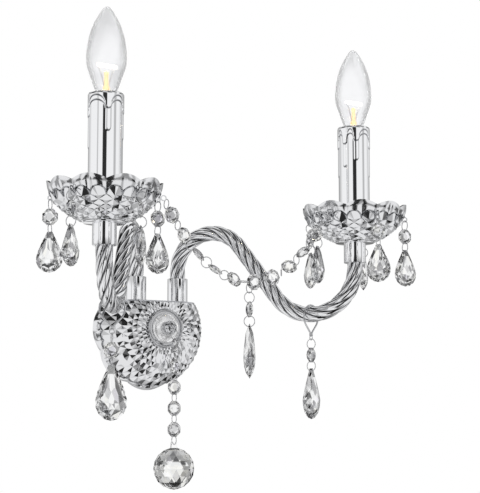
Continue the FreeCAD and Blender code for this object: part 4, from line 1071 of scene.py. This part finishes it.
for side, way in SIDES.items():
    outline = [(TUBE_R, z) for z in np.linspace(TUBE_FOOT, TUBE_TOP - 52, 6)]
    outline += [(TUBE_R, z) for z in np.linspace(TUBE_TOP - 51, TUBE_TOP - 17, 40)]
    outline += [(TUBE_R, z) for z in np.linspace(TUBE_TOP - 16.5, TUBE_TOP - 2.6, 30)]
    outline += [(14.5, TUBE_TOP - 1.6), (14.0, TUBE_TOP - 0.8), (13.2, TUBE_TOP - 0.2), (12.5, TUBE_TOP),
                (11.9, TUBE_TOP - 0.3), (11.9, TUBE_TOP - 1.2), (13.2, TUBE_TOP - 3.6), (13.2, TUBE_FOOT),
                (TUBE_R, TUBE_FOOT)]
    bm = turned(outline, 160)
    # Close to a coat's edge the chrome gets a painted shadow, as if cast by the coat's little ledge.
    coat_shadow_mark = bm.verts.layers.float.new("painted_shade_line")
    for vert in bm.verts:
        radius = math.hypot(vert.co.x, vert.co.y) / MM
        if radius > 13.3 and vert.co.z > TUBE_FOOT * MM + 1e-4:
            psi = math.degrees(math.atan2(vert.co.x, -vert.co.y))
            out, vert[coat_shadow_mark] = wax(psi, TUBE_TOP - vert.co.z / MM, DRIPS[side])
            grown = (radius + out) / radius
            vert.co = Vector((vert.co.x * grown, vert.co.y * grown, vert.co.z))
    bmesh.ops.translate(bm, verts=bm.verts, vec=lamp_axis[side])
    add_piece(side + "_wax_tube", bm, wax_chrome, "fixture", [side + "_candle_tube"], 60)

# %% [markdown]
# ## Bulbs
# The glass is a closed skin with a thickness, so light bends at both of its faces. Inside stand a
# glass stem, two splayed wires and a lit coil.

# %% Bulb glass
GLASS_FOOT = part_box("left_bulb_glass")[0][2] / MM
GLASS = 0.7
BULB_SIDE = [(6.6, GLASS_FOOT), (6.9, 187.6), (8.4, 191.2), (10.5, 195.8), (13.9, 205.7), (16.8, 214.7),
             (17.4, 222.8), (16.6, 232.6), (14.8, 241.6), (11.8, 250.6), (7.2, 259.5), (4.4, 263.9),
             (2.0, 266.6), (0.0, 267.2)]
COIL_Z = 215.0
COIL_HALF = 8.0           # half of its length
COIL_R = 1.1
COIL_TURNS, COIL_STEPS = 13, 8
COIL_WIRE, SUPPORT_WIRE = 0.5, 0.36   # radii


def wire_line(points, radius, count=8):
    """A round wire through points given in millimetres."""
    line = [Vector(p) * MM for p in points]
    return swept(stations_along(line, Vector((0, 1, 0.01)).normalized()), circle(radius, count))


def bulb_piece(side, name, bm, material, node, smooth_angle=60):
    """Sets a part of the bulb, drawn on the upright axis, in its place on that side."""
    bmesh.ops.translate(bm, verts=bm.verts, vec=lamp_axis[side])
    nodes = [side + node] if node else []
    add_piece(side + name, bm, material, side + "_bulb", nodes, smooth_angle)


for side in SIDES:
    outer = rounded(BULB_SIDE, 6)
    inner = [(max(r - GLASS, 0.0), z - (GLASS if r < 3 else 0.0)) for r, z in reversed(outer)]
    bulb_piece(side, "_glass", turned(outer + inner + [outer[0]], 72), bulb_glass, "_bulb_glass",
               70)

    stem = turned([(0.0, GLASS_FOOT + 0.4), (5.6, GLASS_FOOT + 0.4), (4.6, 188.0), (3.0, 192.0), (2.9, 196.0),
                   (2.0, 198.0), (1.8, 206.0), (2.2, 208.5), (1.6, 210.0), (0.0, 210.4)], 24)
    bulb_piece(side, "_stem", stem, halo, "_bulb_filament")

    wires = bmesh.new()
    for way in (-1, 1):
        join(wires, wire_line([(way * 2.2, 0, 197), (way * 3.2, 0, 202), (way * 5.2, 0, 208),
                               (way * COIL_HALF, 0, COIL_Z + 0.4)], SUPPORT_WIRE))
    bulb_piece(side, "_coil_supports", wires, zinc, "")

    helix = []
    for i in range(COIL_TURNS * COIL_STEPS + 1):
        t = i / (COIL_TURNS * COIL_STEPS)
        a = 2 * math.pi * i / COIL_STEPS
        helix.append((COIL_HALF * (2 * t - 1), COIL_R * math.cos(a), COIL_Z + COIL_R * math.sin(a)))
    bulb_piece(side, "_coil", wire_line(helix, COIL_WIRE, 6), glow, "")

# %% [markdown]
# ## Pieces that keep their solids
# What stands hidden behind the dish or inside the tubes keeps its solid, with a finish and a fine
# rounded edge.

# %% Dress the rest
for node in ("chassis_bracket", "mounting_strap"):
    dress(node, zinc, 0.25)
for node in ("centre_stud", "stud_nut", "threaded_nipples", "nipple_nuts"):
    dress(node, zinc, 0.12)
for node in ("terminal_block", "lampholders"):
    dress(node, holder_plastic, 0.3)
for node in ("left_bulb_cap", "right_bulb_cap"):
    dress(node, nickel, 0.15)
dress("arm_leads", cable_plastic)
dress("cup_eyelets", wire_chrome)
print("solids dressed")

# %% [markdown]
# ## Studio
# Mirror finishes show their surroundings, so the surroundings matter more than the lamps. Seen
# directly, the background is plain white. A reflection or a bent ray meets a room drawn by its
# direction alone. At eye level it is a white tent with dark strips, the widest where the camera
# stands, and a grey side behind the light, and the room at the height of a table is as plain.
# Elsewhere it is a patchwork of black, grey and white cards, which makes neighbouring facets differ
# as strongly as they do in a studio.

# %% Camera
LOOK_AZIMUTH = 32.5       # degrees from straight at the wall towards the right
LOOK_UP = 6.7
SEEN_FROM = Vector((-0.6301, -1.1628, -0.0709))
LENS_PIXELS = 1319.1      # focal length in pixels of a picture 480 pixels wide
PICTURE = (480, 493)
SENSOR = 36.0

camera = bpy.data.cameras.new("camera")
camera.sensor_width = SENSOR
camera.sensor_fit = "HORIZONTAL"
camera.lens = LENS_PIXELS / PICTURE[0] * SENSOR
camera_object = bpy.data.objects.new("camera", camera)
camera_object.location = SEEN_FROM
camera_object.rotation_euler = (math.radians(90 + LOOK_UP), 0, math.radians(-LOOK_AZIMUTH))
bpy.context.scene.collection.objects.link(camera_object)
bpy.context.scene.camera = camera_object
bpy.context.scene.view_settings.view_transform = "Standard"
print("lens", round(camera.lens, 2))

# %% World
world = bpy.data.worlds.new("studio")
bpy.context.scene.world = world
world.use_nodes = True
tree = world.node_tree
tree.nodes.clear()


def node_of(kind, **settings):
    node = tree.nodes.new(kind)
    for key, value in settings.items():
        setattr(node, key, value)
    return node


def maths(operation, a, b=None, clamp=False):
    """One sum or comparison of sockets or plain numbers."""
    node = node_of("ShaderNodeMath", operation=operation, use_clamp=clamp)
    for socket, value in zip(node.inputs, (a, b)):
        if isinstance(value, bpy.types.NodeSocket):
            tree.links.new(value, socket)
        elif value is not None:
            socket.default_value = value
    return node.outputs[0]


def stripe(azimuth, half, soft):
    """1 in an upright stripe of the room round azimuth and 0 beside it, in degrees."""
    off = maths("ABSOLUTE", maths("SUBTRACT", heading_angle, math.radians(azimuth)))
    return maths("DIVIDE", maths("SUBTRACT", math.radians(half + soft), off), math.radians(soft), clamp=True)


coords = node_of("ShaderNodeTexCoord")
split = node_of("ShaderNodeSeparateXYZ")
tree.links.new(coords.outputs["Generated"], split.inputs[0])
heading_angle = maths("ARCTAN2", split.outputs["X"], maths("MULTIPLY", split.outputs["Y"], -1.0))
ahead = node_of("ShaderNodeVectorMath", operation="DOT_PRODUCT")
tree.links.new(coords.outputs["Generated"], ahead.inputs[0])
look = math.radians(LOOK_AZIMUTH)
ahead.inputs[1].default_value = (math.sin(look), math.cos(look), 0.0)
behind = ahead.outputs["Value"]

# Upright dark strips of the tent: azimuth from the camera, half width, soft edge and darkness.
level_band = 1.0
for azimuth, half, soft, darkness in ((0, 12.0, 3.0, 0.97), (-48, 3.0, 3.0, 0.40), (70, 6.0, 5.0, 0.45)):
    strip = maths("MULTIPLY", stripe(azimuth - LOOK_AZIMUTH, half, soft), darkness)
    level_band = maths("SUBTRACT", level_band, strip)
back_side = maths("MULTIPLY", maths("SUBTRACT", behind, 0.20), 1.2, clamp=True)
level_band = maths("SUBTRACT", level_band, maths("MULTIPLY", back_side, 0.72), clamp=True)

patches = node_of("ShaderNodeTexVoronoi")
patches.inputs["Scale"].default_value = 2.5
tree.links.new(coords.outputs["Generated"], patches.inputs["Vector"])
patch_split = node_of("ShaderNodeSeparateColor")
tree.links.new(patches.outputs["Color"], patch_split.inputs[0])
patch_shade = ramp(tree.nodes, [(0.0, 0.02), (0.28, 0.14), (0.46, 0.36), (0.63, 0.68), (0.76, 1.0)])
patch_shade.color_ramp.interpolation = "CONSTANT"
tree.links.new(patch_split.outputs[0], patch_shade.inputs["Fac"])

# Plain zones of the room, by the upward part of a direction: the middle and half of the width.
EYE_LEVEL, TABLE_LEVEL = (0.13, 0.15), (-0.58, 0.20)
ZONE_EDGE = 12.0          # how sharply a zone ends


def outside(zone):
    """0 in a plain zone of the room and 1 beyond it."""
    off = maths("ABSOLUTE", maths("SUBTRACT", split.outputs["Z"], zone[0]))
    return maths("MULTIPLY", maths("SUBTRACT", off, zone[1]), ZONE_EDGE, clamp=True)


patchy = maths("MULTIPLY", outside(EYE_LEVEL), outside(TABLE_LEVEL))
room = maths("ADD", maths("MULTIPLY", maths("SUBTRACT", 1.0, patchy), level_band),
             maths("MULTIPLY", patchy, patch_shade.outputs["Color"]))

straight_on = maths("MULTIPLY", maths("SUBTRACT", behind, 0.90), 25.0, clamp=True)
light_path = node_of("ShaderNodeLightPath")
through = maths("MULTIPLY", straight_on, light_path.outputs["Is Transmission Ray"])
seen = maths("MAXIMUM", through, light_path.outputs["Is Camera Ray"])
mirrored = maths("MAXIMUM", light_path.outputs["Is Glossy Ray"],
                 light_path.outputs["Is Transmission Ray"])
level = maths("ADD", maths("MULTIPLY", mirrored, room),
              maths("MULTIPLY", maths("SUBTRACT", 1.0, mirrored), 0.75))
strength = maths("MAXIMUM", level, seen)
background = node_of("ShaderNodeBackground")
background.inputs["Color"].default_value = (1.0, 1.0, 1.0, 1.0)
tree.links.new(strength, background.inputs["Strength"])
world_end = node_of("ShaderNodeOutputWorld")
tree.links.new(background.outputs[0], world_end.inputs[0])
print("world made")

# %% Floor and soft lights
FLOOR_Z = -0.62
bm = bmesh.new()
bmesh.ops.create_grid(bm, x_segments=1, y_segments=1, size=1.6)
bmesh.ops.translate(bm, verts=bm.verts, vec=(0, -0.4, FLOOR_Z))
pale = new_material("pale_floor", {"Base Color": (0.82, 0.82, 0.82, 1.0), "Roughness": 0.9})[0]
floor = new_object("floor", bm, pale)
floor.visible_glossy = False
floor.visible_transmission = False


def soft_light(name, spot, aim, size, power):
    lamp = bpy.data.lights.new(name, "AREA")
    lamp.shape = "RECTANGLE"
    lamp.size, lamp.size_y = size
    lamp.energy = power
    lit = bpy.data.objects.new(name, lamp)
    lit.location = spot
    lit.rotation_euler = (Vector(spot) - Vector(aim)).to_track_quat("Z", "Y").to_euler()
    lit.visible_glossy = False
    lit.visible_transmission = False
    bpy.context.scene.collection.objects.link(lit)


AIM = (0.0, -0.1, 0.08)
soft_light("key_light", (-1.3, -0.9, 1.1), AIM, (0.9, 0.9), 11.0)
soft_light("fill_light", (1.1, -1.2, 0.5), AIM, (0.6, 1.1), 5.0)
soft_light("top_light", (0.1, -0.3, 1.5), AIM, (1.1, 0.8), 6.0)
print("lights set")
